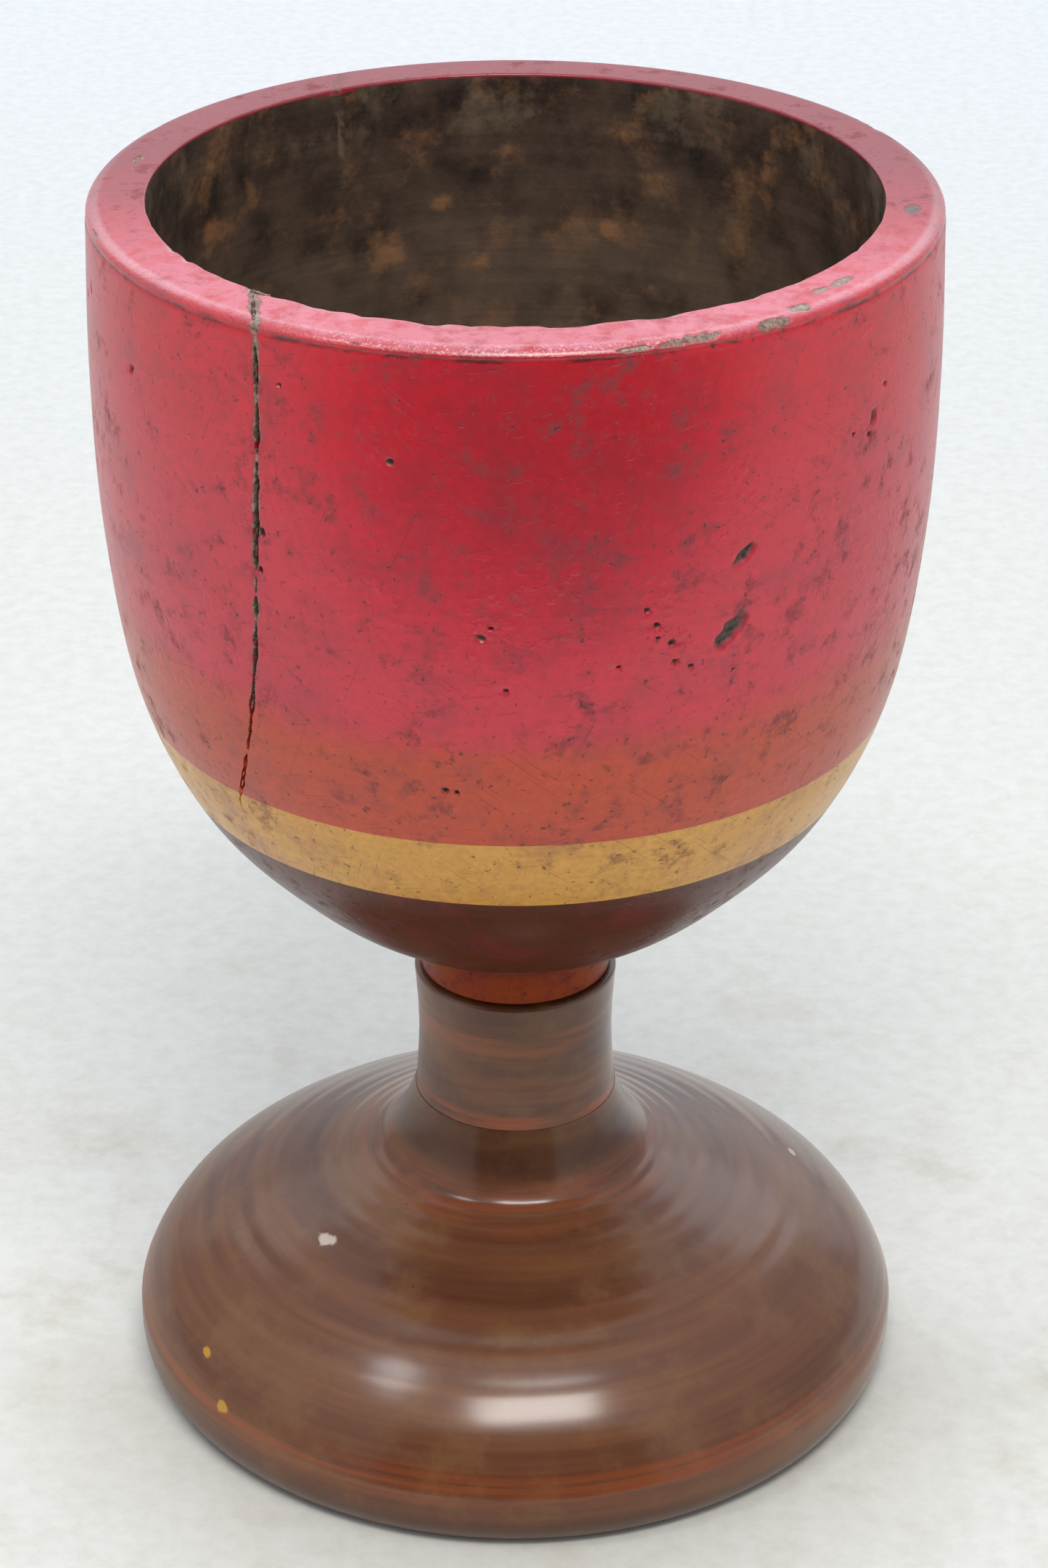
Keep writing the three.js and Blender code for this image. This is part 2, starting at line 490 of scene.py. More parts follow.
@dataclass(frozen=True)
class Pit:
    """A small hole in the lac, down into the wood."""

    azimuth: float
    height_mm: float
    width_mm: float
    length_mm: float
    tilt: float = 0.0
    reach: float = 1.9

    def grown(self, margin_mm: float) -> "Pit":
        """Gives the same pit with a margin round it."""
        return replace(self, width_mm=self.width_mm + margin_mm, length_mm=self.length_mm + margin_mm)

    def distance(self, places: Places) -> np.ndarray:
        """Gives how far out each place is, where 1 is the pit's edge."""
        turn_off = (azimuth_of(places) - self.azimuth + 180) % 360 - 180
        across = np.radians(turn_off) * radii_of(places) / MM
        up = places[:, 2] / MM - self.height_mm
        c, s = math.cos(math.radians(self.tilt)), math.sin(math.radians(self.tilt))
        along, aside = across * c + up * s, up * c - across * s
        return np.hypot(along / (self.length_mm / 2), aside / (self.width_mm / 2))


@dataclass(frozen=True)
class Chip:
    """A patch where the lac has flaked off, with a ragged edge."""

    azimuth: float
    height_mm: float
    radius_mm: float
    length_mm: float
    width_mm: float
    ragged: float = 0.6
    reach: float = 1.8

    def grown(self, margin_mm: float) -> "Chip":
        """Gives the same chip with a plain edge and a margin round it."""
        length_mm, width_mm = self.length_mm + margin_mm, self.width_mm + margin_mm
        return replace(self, length_mm=length_mm, width_mm=width_mm, ragged=0.0)

    def weights(self, places: Places, seed: float) -> np.ndarray:
        """Gives from 0 to 1 how much of the lac is gone at each place.

        Args:
            places: The surface's points.
            seed: Picks the ragged edge's shape.

        Returns:
            One number for each place.
        """
        angle = math.radians(self.azimuth)
        middle = np.array([math.sin(angle), -math.cos(angle), 0]) * self.radius_mm
        middle[2] = self.height_mm
        round_it = np.array([math.cos(angle), math.sin(angle), 0])
        off = places / MM - middle
        along = off @ round_it
        aside = np.sqrt(np.maximum((off**2).sum(1) - along**2, 0))
        out = np.hypot(along / (self.length_mm / 2), aside / (self.width_mm / 2))
        gone = np.zeros(len(places))
        picks = np.flatnonzero(out < self.reach)
        spots = places[picks]
        edge = 1 + self.ragged * (rough(spots, 1.3, seed) + 0.4 * rough(spots, 0.45, seed + 3))
        gone[picks] = 1 - ramp(out[picks] / np.maximum(edge, 0.05), 0.72, 1.08)
        return gone


# ---- Finishes ----


class Board:
    """A material's nodes, laid out one at a time around one surface shader."""

    def __init__(self, name: str) -> None:
        """Starts a material that reads the piece's own coordinates."""
        self.material = bpy.data.materials.new(name)
        self.material.use_nodes = True
        self.tree = self.material.node_tree
        self.tree.nodes.clear()
        self.shader = self.tree.nodes.new("ShaderNodeBsdfPrincipled")
        output = self.tree.nodes.new("ShaderNodeOutputMaterial")
        self.tree.links.new(self.shader.outputs["BSDF"], output.inputs["Surface"])
        self.place = self.tree.nodes.new("ShaderNodeTexCoord").outputs["Object"]
        parts = self.node("ShaderNodeSeparateXYZ", Vector=self.place)
        self.x, self.y, self.z = parts.outputs
        level = self.node("ShaderNodeCombineXYZ", X=self.x, Y=self.y).outputs[0]
        self.radius = self.node("ShaderNodeVectorMath", "LENGTH", Vector=level).outputs["Value"]
        self.bearing = self.node("ShaderNodeVectorMath", "NORMALIZE", Vector=level).outputs["Vector"]

    def node(self, kind: str, operation: str | None = None, **inputs: object) -> bpy.types.Node:
        """Adds a node.

        Args:
            kind: The node's type.
            operation: What a maths node does.
            inputs: Values or sockets for the inputs, by name with _ for a space.

        Returns:
            The node.
        """
        made = self.tree.nodes.new(kind)
        if operation:
            made.operation = operation
        for name, value in inputs.items():
            self.feed(made.inputs[name.replace("_", " ")], value)
        return made

    def feed(self, socket: bpy.types.NodeSocket, value: object) -> None:
        """Links a socket to another one, or sets its value."""
        if isinstance(value, bpy.types.NodeSocket):
            self.tree.links.new(value, socket)
        else:
            socket.default_value = value

    def sum(self, operation: str, *numbers: object) -> bpy.types.NodeSocket:
        """Does one sum with numbers or sockets."""
        made = self.node("ShaderNodeMath", operation)
        for socket, number in zip(made.inputs, numbers):
            self.feed(socket, number)
        return made.outputs[0]

    def product(self, first: object, *others: object) -> object:
        """Multiplies numbers or sockets together."""
        for other in others:
            first = self.sum("MULTIPLY", first, other)
        return first

    def distance_from(self, point: tuple[float, float, float]) -> bpy.types.NodeSocket:
        """Gives how far away a point of the piece is."""
        made = self.node("ShaderNodeVectorMath", "DISTANCE", Vector=self.place)
        made.inputs[1].default_value = point
        return made.outputs["Value"]

    def ring(self, height_mm: float, half_mm: float) -> bpy.types.NodeSocket:
        """Draws a soft ring round the piece: 1 at a height, and 0 half its width away."""
        off = self.sum("ABSOLUTE", self.sum("SUBTRACT", self.z, height_mm * MM))
        return self.step(off, half_mm * MM, 0.25 * half_mm * MM)

    def lumps(self, size_mm: float, detail: float = 3.0, vector: object = None,
              roughness: float = 0.55) -> bpy.types.NodeSocket:
        """Gives smooth random numbers around 0.5.

        Args:
            size_mm: The lumps' size, or 1 for a vector that is already scaled.
            detail: How many finer layers there are.
            vector: The coordinates, or None for the piece's own.
            roughness: How strong the finer layers are.

        Returns:
            The number's socket.
        """
        scale = 1.0 if vector is not None else 1 / (size_mm * MM)
        source = self.place if vector is None else vector
        made = self.node("ShaderNodeTexNoise", Vector=source, Scale=scale, Detail=detail,
                         Roughness=roughness)
        return made.outputs["Fac"]

    def turned(self, along_mm: float, across_mm: float, lean: float = 1.0) -> bpy.types.NodeSocket:
        """Gives coordinates for a pattern that runs round a turned piece.

        Args:
            along_mm: The pattern's size round the piece.
            across_mm: Its size along the outline.
            lean: 1 where the radius grows upwards, as on a bowl, and -1 where it grows downwards.

        Returns:
            The coordinates' socket.
        """
        reach = PATTERN_RADIUS_MM / along_mm
        run = self.sum("MULTIPLY_ADD", self.z, lean, self.radius)
        climb = self.product(run, 1 / (across_mm * MM))
        around = self.node("ShaderNodeVectorMath", "SCALE", Vector=self.bearing, Scale=reach)
        up = self.node("ShaderNodeCombineXYZ", Z=climb)
        total = self.node("ShaderNodeVectorMath", "ADD")
        self.feed(total.inputs[0], around.outputs["Vector"])
        self.feed(total.inputs[1], up.outputs[0])
        return total.outputs["Vector"]

    def scratches(self, degrees: float, length_mm: float, width_mm: float,
                  rarity: float) -> bpy.types.NodeSocket:
        """Draws straight hairlines on an upright wall, all about one way.

        Args:
            degrees: Their slope.
            length_mm: About how long they are.
            width_mm: About how wide they are.
            rarity: From 0.5, everywhere, to 0.8, very few.

        Returns:
            1 in a scratch and 0 elsewhere.
        """
        angle = self.sum("ARCTAN2", self.x, self.product(self.y, -1.0))
        around = self.product(angle, WALL_RADIUS)
        flat = self.node("ShaderNodeCombineXYZ", X=around, Y=self.z).outputs[0]
        turned = self.node("ShaderNodeVectorRotate", Vector=flat, Angle=math.radians(-degrees))
        turned.rotation_type = "Z_AXIS"
        stretch = self.node("ShaderNodeMapping", Vector=turned.outputs[0])
        stretch.inputs["Location"].default_value = (degrees, 0.0, 0.0)
        stretch.inputs["Scale"].default_value = (1 / (length_mm * MM), 1 / (width_mm * MM), 1.0)
        return self.step(self.lumps(1, 1, stretch.outputs[0]), rarity, rarity + 0.03)

    def step(self, value: object, low: float, high: float) -> bpy.types.NodeSocket:
        """Rises smoothly from 0 at low to 1 at high."""
        made = self.node("ShaderNodeMapRange", Value=value, From_Min=low, From_Max=high)
        made.interpolation_type = "SMOOTHSTEP"
        return made.outputs[0]

    def shades(self, value: object, stops: Sequence[tuple[float, Colour]]) -> bpy.types.NodeSocket:
        """Turns a number from 0 to 1 into a colour.

        Args:
            value: The number.
            stops: Places from 0 to 1 and the colours there.

        Returns:
            The colour's socket.
        """
        made = self.node("ShaderNodeValToRGB", Fac=value)
        marks = made.color_ramp.elements
        while len(marks) < len(stops):
            marks.new(1.0)
        for element, (place, colour) in zip(marks, stops):
            element.position = place
            element.color = colour
        return made.outputs["Color"]

    def blend(self, amount: object, under: object, over: object,
              how: str = "MIX") -> bpy.types.NodeSocket:
        """Lays one colour over another.

        Args:
            amount: How much of the upper colour shows.
            under: The lower colour.
            over: The upper colour.
            how: The way they are mixed.

        Returns:
            The colour's socket.
        """
        made = self.tree.nodes.new("ShaderNodeMix")
        made.data_type = "RGBA"
        made.blend_type = how
        made.clamp_factor = True
        self.feed(made.inputs[0], amount)
        self.feed(made.inputs[6], under)
        self.feed(made.inputs[7], over)
        return made.outputs[2]

    def worn(self, wear: Wear) -> bpy.types.NodeSocket:
        """Reads how much of one kind of wear a point carries."""
        made = self.tree.nodes.new("ShaderNodeAttribute")
        made.attribute_name = wear.value
        return made.outputs["Fac"]

    def relief(self, layers: Sequence[tuple[object, float]], strength: float = 1.0) -> None:
        """Gives the surface fine relief.

        Args:
            layers: Numbers around 0.5, and the height in millimetres that 1 stands for.
            strength: How strongly the relief shows.
        """
        total: object = 0.0
        for value, height_mm in layers:
            total = self.sum("ADD", total, self.product(value, height_mm))
        bump = self.node("ShaderNodeBump", Height=total, Strength=strength, Distance=MM)
        self.feed(self.shader.inputs["Normal"], bump.outputs["Normal"])

    def surface(self, colour: object, roughness: object, **fixed: float) -> bpy.types.Material:
        """Gives the shader its colour, roughness and constant values, and returns the material."""
        self.feed(self.shader.inputs["Base Color"], colour)
        self.feed(self.shader.inputs["Roughness"], roughness)
        for name, value in fixed.items():
            self.shader.inputs[name.replace("_", " ")].default_value = value
        return self.material


BARE_WOOD = paint(132, 104, 88)
GRIME = paint(44, 31, 25)
WHITE = paint(255, 255, 255)


@dataclass(frozen=True)
class RedLac:
    """Crimson lac that turns orange below, with a gold band and brown lac under it, a painted shade on
    the front of the upper wall, and painted sheen, shade and highlight on the rim.

    Heights are above the table.
    """

    bottom_mm: float
    top_mm: float
    inner_mm: float
    brown: Colour = paint(84, 38, 16)
    neck: Colour = paint(146, 58, 8)
    gold: Colour = paint(216, 157, 58)
    orange: Colour = paint(191, 61, 12)
    rose: Colour = paint(203, 33, 58)
    crimson: Colour = paint(205, 15, 40)
    # Painted shade: the colour laid on the front of the upper wall where it is darkened.
    deep: Colour = paint(150, 5, 22)
    aged: Colour = paint(124, 38, 50)
    smudged: Colour = paint(92, 32, 38)
    scratched: Colour = paint(80, 28, 36)
    # Pale worn lac on the rim's top, which also stands for painted sheen where it is strongest, at the
    # front.
    worn_top_and_sheen: Colour = paint(210, 112, 130)
    # Painted shade on the back of the rim's top.
    painted_back_shade: Colour = paint(116, 22, 34)
    # Painted highlight along the front lip.
    painted_lip_highlight: Colour = paint(244, 190, 204)
    lip_dirt: Colour = paint(70, 28, 26)
    chip_edge: Colour = paint(120, 52, 54)
    crack_dark: Colour = paint(40, 26, 20)
    orange_mm: Point = (100.0, 109.0)
    rose_mm: Point = (114.0, 134.0)
    crimson_mm: float = 150.0
    # Where the painted shade on the front wall is centred, how far it reaches and how strong it is.
    shade_centre: tuple[float, float, float] = (0.005, -0.05, 0.147)
    shade_reach: Point = (0.028, 0.004)
    shade_strength: float = 0.46
    gold_low_mm: float = 87.1
    gold_high_mm: float = 97.2
    edge_mm: float = 0.12
    edge_wander_mm: float = 0.5
    blend_wander_mm: float = 9.0
    neck_top_mm: float = 60.4
    neck_blend_mm: float = 1.2
    lip_mm: float = 1.4
    inside_lac_mm: float = 1.3
    ragged_mm: float = 1.4
    coat_roughness: float = 0.24

    def bands(self, board: Board) -> bpy.types.NodeSocket:
        """Gives the lac's colour by height, with edges that wander a little, and a painted shade patch on
        the front of the upper wall.
        """
        drift = board.sum("SUBTRACT", board.lumps(1, 2, board.turned(40, 6)), 0.5)
        crisp = board.sum("MULTIPLY_ADD", drift, self.edge_wander_mm * MM, board.z)
        slow_drift = board.sum("SUBTRACT", board.lumps(1, 5, board.turned(60, 2.6)), 0.5)
        soft = board.sum("MULTIPLY_ADD", slow_drift, self.blend_wander_mm * MM, board.z)
        span = self.top_mm - self.bottom_mm
        level = board.product(board.sum("SUBTRACT", soft, self.bottom_mm * MM), 1 / (span * MM))
        places_mm = (*self.orange_mm, *self.rose_mm, self.crimson_mm)
        colours = (self.orange, self.orange, self.rose, self.rose, self.crimson)
        stops = [((place - self.bottom_mm) / span, colour) for place, colour in zip(places_mm, colours)]
        upper = board.shades(level, stops)
        # Painted shade: a soft darker patch on the front of the upper wall.
        in_painted_shade = board.step(board.distance_from(self.shade_centre), *self.shade_reach)
        upper = board.blend(board.product(in_painted_shade, self.shade_strength), upper, self.deep)
        low = board.blend(self.below(board, self.neck_top_mm, self.neck_blend_mm), self.brown, self.neck)
        band = board.blend(self.below(board, self.gold_high_mm, level=crisp), upper, self.gold)
        return board.blend(self.below(board, self.gold_low_mm, level=crisp), band, low)

    def below(self, board: Board, height_mm: float, blend_mm: float = 0.0,
              level: object = None) -> bpy.types.NodeSocket:
        """Gives 1 below a height and 0 above it.

        Args:
            board: The material's nodes.
            height_mm: The height.
            blend_mm: How far to either side of it the change reaches, or 0 for a crisp edge above it.
            level: The height of each point, or None for the plain one.

        Returns:
            The number's socket.
        """
        high_mm = height_mm + (blend_mm or self.edge_mm)
        return board.step(board.z if level is None else level, high_mm * MM, (height_mm - blend_mm) * MM)

    def under_top(self, board: Board, low_mm: float, high_mm: float) -> bpy.types.NodeSocket:
        """Rises from 0 to 1 between two depths under the rim's top."""
        return board.step(board.z, (self.top_mm - low_mm) * MM, (self.top_mm - high_mm) * MM)

    def material(self, name: str, shine: float) -> bpy.types.Material:
        """Lays the lac on the wood: colour bands, smudges, scratches, wear and relief.

        Args:
            name: The material's name.
            shine: How strongly it mirrors.

        Returns:
            The material.
        """
        board = Board(name)
        streaks = board.lumps(1, 5, board.turned(46, 1.2))
        mottle = board.lumps(3.0, 8, roughness=0.72)
        patches = board.step(board.lumps(16, 4), 0.38, 0.56)
        smudges = board.product(board.step(mottle, 0.5, 0.68), patches, 0.62)
        specks = board.step(board.lumps(0.7, 2), 0.64, 0.7)
        specks = board.product(specks, board.step(mottle, 0.42, 0.58))
        lines = board.scratches(66, 16, 0.3, 0.72)
        for slope, length_mm, width_mm in ((-38, 14, 0.3), (12, 9, 0.26)):
            lines = board.sum("MAXIMUM", lines, board.scratches(slope, length_mm, width_mm, 0.71))

        colour = self.weathered(board, streaks)
        colour = board.blend(smudges, colour, self.smudged)
        colour = board.blend(board.product(lines, 0.26), colour, self.scratched)
        colour = board.blend(board.product(specks, 0.7), colour, GRIME)
        colour = self.rim_wear_and_light(board, colour, mottle)
        colour = board.blend(self.dirt(board), colour, self.lip_dirt)
        colour = self.worn_through(board, colour)

        hollow = board.sum("MAXIMUM", board.worn(Wear.PIT), board.worn(Wear.SPLIT))
        hollow = board.sum("MAXIMUM", hollow, board.worn(Wear.BARE))
        matt = board.product(board.sum("MAXIMUM", smudges, hollow), 0.5)
        flat_top = board.product(self.under_top(board, 0.2, 0.0), 0.1)
        roughness = board.sum("ADD", board.sum("ADD", matt, flat_top), 0.3)
        lip = board.product(self.under_top(board, 1.2, 0.9), self.under_top(board, 0.02, 0.12),
                            board.step(board.y, 0.02, -0.02))
        low = board.step(board.z, (self.gold_low_mm + 1) * MM, self.gold_low_mm * MM)
        board.feed(board.shader.inputs["Coat Weight"], board.sum("MULTIPLY_ADD", low, 0.05, lip))
        blisters = board.product(board.step(board.lumps(1.3, 2), 0.5, 0.72),
                                 board.step(board.lumps(15, 2), 0.5, 0.6))
        board.relief([(streaks, 0.012), (board.lumps(1.5, 3), 0.02), (board.lumps(0.45, 2), 0.008),
                      (blisters, 0.035), (lines, -0.02), (specks, -0.05),
                      (board.product(lip, board.lumps(0.4, 3)), 0.14)])
        return board.surface(colour, roughness, Specular_IOR_Level=shine,
                             Coat_Roughness=self.coat_roughness)

    def weathered(self, board: Board, streaks: object) -> bpy.types.NodeSocket:
        """Gives the bands' colour, streaked, greyed and darkened in clouds by age."""
        soft = board.shades(streaks, [(0.3, paint(238, 230, 228)), (0.7, WHITE)])
        colour = board.blend(0.6, self.bands(board), soft, "MULTIPLY")
        fine = board.lumps(1.0, 5, roughness=0.7)
        grey = board.shades(fine, [(0.3, paint(226, 214, 212)), (0.62, WHITE)])
        colour = board.blend(0.7, colour, grey, "MULTIPLY")
        clouds = board.product(board.step(board.lumps(9, 8, roughness=0.74), 0.46, 0.7), 0.46)
        return board.blend(clouds, colour, self.aged)

    def rim_wear_and_light(self, board: Board, colour: object, mottle: object) -> bpy.types.NodeSocket:
        """Pales the rim where hands and lips wore it, with painted sheen that makes the paling stronger
        at the front; darkens the back of its top as painted shade; and lays a painted highlight along the
        front lip.
        """
        rubbed_and_sheen = board.product(self.under_top(board, 0.7, 0.15), board.step(mottle, 0.3, 0.62))
        # Painted sheen: the paling is made stronger towards the front of the rim.
        strength = board.sum("MULTIPLY_ADD", board.step(board.y, 0.0, -0.036), 0.62, 0.34)
        colour = board.blend(board.product(rubbed_and_sheen, strength), colour, self.worn_top_and_sheen)
        # Painted shade: the back of the rim's top is darkened.
        back_shade = board.product(self.under_top(board, 0.6, 0.3), board.step(board.y, -0.03, 0.015), 0.78)
        colour = board.blend(back_shade, colour, self.painted_back_shade)
        # Painted highlight: pale broken specks along the front lip.
        lip_highlight = board.product(
            self.under_top(board, 0.95, 0.45),
            board.step(board.lumps(0.36, 3, roughness=0.7), 0.52, 0.66),
            self.under_top(board, 0.01, 0.14),
            board.step(board.y, -0.04, -0.0485),
            0.6,
        )
        return board.blend(lip_highlight, colour, self.painted_lip_highlight)

    def dirt(self, board: Board) -> bpy.types.NodeSocket:
        """Marks the dirt caught under the rim's lip, in broken stretches."""
        off = board.sum("ABSOLUTE", board.sum("SUBTRACT", board.z, (self.top_mm - self.lip_mm) * MM))
        line = board.step(off, 0.42 * MM, 0.12 * MM)
        broken = board.step(board.lumps(1, 6, board.turned(4, 1.2), 0.7), 0.44, 0.6)
        return board.product(line, broken, 0.85)

    def worn_through(self, board: Board, colour: object) -> bpy.types.NodeSocket:
        """Shows the bare wood where the lac has flaked, and the dark of the pits and splits."""
        grit = board.shades(board.lumps(0.55, 5, roughness=0.7),
                            [(0.34, paint(88, 56, 50)), (0.5, BARE_WOOD), (0.66, paint(168, 144, 126))])
        broken = board.step(board.lumps(0.8, 4, roughness=0.65), 0.36, 0.5)
        gone = board.product(board.worn(Wear.BARE), board.sum("MULTIPLY_ADD", broken, 0.65, 0.35))
        colour = board.blend(board.worn(Wear.BARE), colour, self.chip_edge)
        colour = board.blend(gone, colour, grit)
        hole = board.shades(board.lumps(0.7, 4), [(0.4, paint(36, 26, 22)), (0.62, paint(84, 72, 64))])
        colour = board.blend(board.worn(Wear.PIT), colour, hole)
        colour = board.blend(board.worn(Wear.SPLIT), colour, self.crack_dark)
        return self.inside_wood(board, colour)

    def inside_wood(self, board: Board, colour: object) -> bpy.types.NodeSocket:
        """Ends the lac in a ragged line a little way down inside the mouth."""
        highest = (self.top_mm - self.inside_lac_mm) * MM
        end = board.sum("MULTIPLY_ADD", board.lumps(1.6, 4), self.ragged_mm * MM, highest)
        below = board.step(board.sum("SUBTRACT", end, board.z), 0.0, 0.06 * MM)
        inner = board.step(board.radius, (self.inner_mm + 0.5) * MM, (self.inner_mm + 0.3) * MM)
        inside = board.product(inner, self.under_top(board, 3.2, 3.0))
        wood = OldWood().blotches(board)[1]
        return board.blend(board.product(inside, below), colour, wood)


@dataclass(frozen=True)
class OldWood:
    """The cup's inside: bare wood gone dark with use, blotched and stained."""

    dark: Colour = paint(44, 33, 26)
    brown: Colour = paint(96, 73, 57)
    stain: Colour = paint(186, 130, 84)
    dust: Colour = paint(146, 124, 100)
    spots: tuple[tuple[tuple[float, float, float], float], ...] = (
        ((-0.0165, 0.0405, 0.1365), 3.6), ((-0.0092, 0.0425, 0.1425), 2.2),
        ((-0.005, 0.0425, 0.134), 2.4), ((0.012, 0.0415, 0.139), 2.0),
        ((0.031, 0.029, 0.1515), 3.0), ((-0.037, 0.022, 0.146), 4.0),
    )
    low_dust: Colour = paint(122, 100, 82)
    dust_heights: Point = (0.146, 0.157)
    low_dust_heights: Point = (0.152, 0.134)
    crack_edge: Colour = paint(140, 116, 92)
    crack_dark: Colour = paint(30, 20, 15)

    def material(self) -> bpy.types.Material:
        """Builds the dark wood."""
        board = Board("old_wood")
        smears = board.lumps(2.4, 5, roughness=0.6)
        rings = board.lumps(1, 4, board.turned(70, 1.6))
        grain = board.lumps(1, 5, board.turned(2.2, 24))
        blotches, colour = self.blotches(board)
        colour = self.stained(board, colour, smears)
        soft = board.shades(rings, [(0.3, paint(190, 182, 176)), (0.7, WHITE)])
        colour = board.blend(0.5, colour, soft, "MULTIPLY")
        colour = board.blend(board.product(grain, 0.25), colour, self.dark)
        pale_edge = board.product(board.worn(Wear.BARE), board.step(smears, 0.36, 0.6), 0.7)
        colour = board.blend(pale_edge, colour, self.crack_edge)
        colour = board.blend(board.product(board.worn(Wear.SPLIT), 0.8), colour, self.crack_dark)
        board.relief([(rings, 0.08), (grain, 0.05), (board.lumps(0.8, 3), 0.05)])
        return board.surface(colour, board.sum("MULTIPLY_ADD", blotches, 0.4, 0.4))

    def blotches(self, board: Board) -> tuple[bpy.types.NodeSocket, bpy.types.NodeSocket]:
        """Gives the wood's blotches, as a number and as a colour."""
        number = board.lumps(8, 7, roughness=0.66)
        return number, board.shades(number, [(0.36, self.dark), (0.64, self.brown)])

    def stained(self, board: Board, colour: object, smears: object) -> bpy.types.NodeSocket:
        """Lays warm stains and dust over the wood: clouds of them, and a few spots of their own."""
        warm = board.product(board.step(board.lumps(6.5, 7, roughness=0.66), 0.5, 0.74), 0.62)
        colour = board.blend(warm, colour, self.stain)
        low = board.step(board.z, *self.low_dust_heights)
        low_dust = board.product(low, board.step(board.lumps(7, 5), 0.22, 0.62), 0.66)
        colour = board.blend(low_dust, colour, self.low_dust)
        for spot, size_mm in self.spots:
            ragged = board.sum("MULTIPLY_ADD", smears, 2.2 * size_mm * MM, board.distance_from(spot))
            shows = board.step(ragged, 2 * size_mm * MM, 1.2 * size_mm * MM)
            colour = board.blend(board.product(shows, 0.56), colour, self.stain)
        high = board.step(board.z, *self.dust_heights)
        pale = board.product(board.step(board.lumps(9, 7, roughness=0.7), 0.5, 0.68), high, 0.6)
        return board.blend(pale, colour, self.dust)


@dataclass(frozen=True)
class BrownLac:
    """Red-brown lac in streaks that run round the turning."""

    dark: Colour = paint(86, 47, 28)
    middle: Colour = paint(102, 60, 36)
    light: Colour = paint(120, 76, 44)
    glow: Colour = paint(156, 70, 22)
    haze: Colour = paint(122, 86, 52)
    # Painted shade colour for the darker rings.
    deep: Colour = paint(58, 26, 12)
    scuff: Colour = paint(186, 170, 154)
    fleck: Colour = paint(182, 134, 36)
    streak_strength: float = 0.34
    shine: float = 0.1
    coat_roughness: float = 0.19

    def material(self, name: str, streak_mm: float, glows: Sequence[tuple[float, float, float]],
                 painted_shade_rings: Sequence[tuple[float, float, float]] = ()) -> bpy.types.Material:
        """Builds the lac.

        Args:
            name: The material's name.
            streak_mm: How wide the streaks are.
            glows: Rings of warmer lac: the height, half the width and the strength of each.
            painted_shade_rings: Rings of painted shade, a darker colour laid round the piece, given in
                the same way.

        Returns:
            The material.
        """
        board = Board(name)
        broad = board.lumps(1, 4, board.turned(90, streak_mm * 4, -1), 0.55)
        fine = board.lumps(1, 6, board.turned(36, streak_mm, -1), 0.62)
        clouds = board.lumps(11, 6, roughness=0.66)
        colour = board.shades(broad, [(0.3, self.dark), (0.5, self.middle), (0.7, self.light)])
        soft = board.shades(fine, [(0.34, paint(208, 194, 184)), (0.64, paint(255, 252, 248))])
        colour = board.blend(self.streak_strength, colour, soft, "MULTIPLY")
        colour = board.blend(board.product(board.step(clouds, 0.44, 0.66), 0.5), colour, self.haze)
        broken = board.step(fine, 0.38, 0.62)
        for height_mm, half_mm, strength in glows:
            glow = board.product(board.ring(height_mm, half_mm), broken, strength)
            colour = board.blend(glow, colour, self.glow)
        # Painted shade: darker rings laid round the piece where it is shaded.
        for height_mm, half_mm, strength in painted_shade_rings:
            shade_ring = board.product(board.ring(height_mm, half_mm), strength)
            colour = board.blend(shade_ring, colour, self.deep)
        specks = board.step(board.lumps(0.9, 2), 0.74, 0.79)
        colour = board.blend(board.product(specks, 0.5), colour, GRIME)
        colour = board.blend(board.worn(Wear.BARE), colour, self.scuff)
        colour = board.blend(board.worn(Wear.FLECK), colour, self.fleck)
        board.relief([(fine, 0.014), (broad, 0.03), (board.lumps(2.2, 4), 0.05), (specks, -0.03)])
        aside = board.sum("DIVIDE", board.x, board.radius)
        board.feed(board.shader.inputs["Coat Weight"], board.step(aside, -1.5, -0.5))
        return board.surface(colour, board.sum("MULTIPLY_ADD", clouds, 0.3, 0.38),
                             Specular_IOR_Level=self.shine, Coat_Roughness=self.coat_roughness)


@dataclass(frozen=True)
class CutWood:
    """Uncoated wood, as on a tenon's end, a wedge or the hollow under the foot."""

    late: Colour = paint(112, 80, 52)
    early: Colour = paint(158, 122, 84)
    grain_scale: tuple[float, float, float] = (900.0, 160.0, 240.0)

    def material(self, name: str, darker: float = 0.0) -> bpy.types.Material:
        """Builds the wood.

        Args:
            name: The material's name.
            darker: From 0, fresh, to 1, black with age.

        Returns:
            The material.
        """
        board = Board(name)
        stretch = board.node("ShaderNodeMapping", Vector=board.place)
        stretch.inputs["Scale"].default_value = self.grain_scale
        grain = board.lumps(1, 6, stretch.outputs[0], 0.6)
        pores = board.lumps(0.5, 3)
        colour = board.shades(grain, [(0.36, self.late), (0.62, self.early)])
        dirty = board.product(board.step(board.lumps(7, 5), 0.45, 0.7), 0.55)
        colour = board.blend(dirty, colour, GRIME)
        colour = board.blend(darker, colour, GRIME)
        board.relief([(grain, 0.05), (pores, 0.04), (board.lumps(1, 4, board.turned(60, 1.4)), 0.08)])
        return board.surface(colour, board.sum("ADD", pores, 0.25), Specular_IOR_Level=0.3)


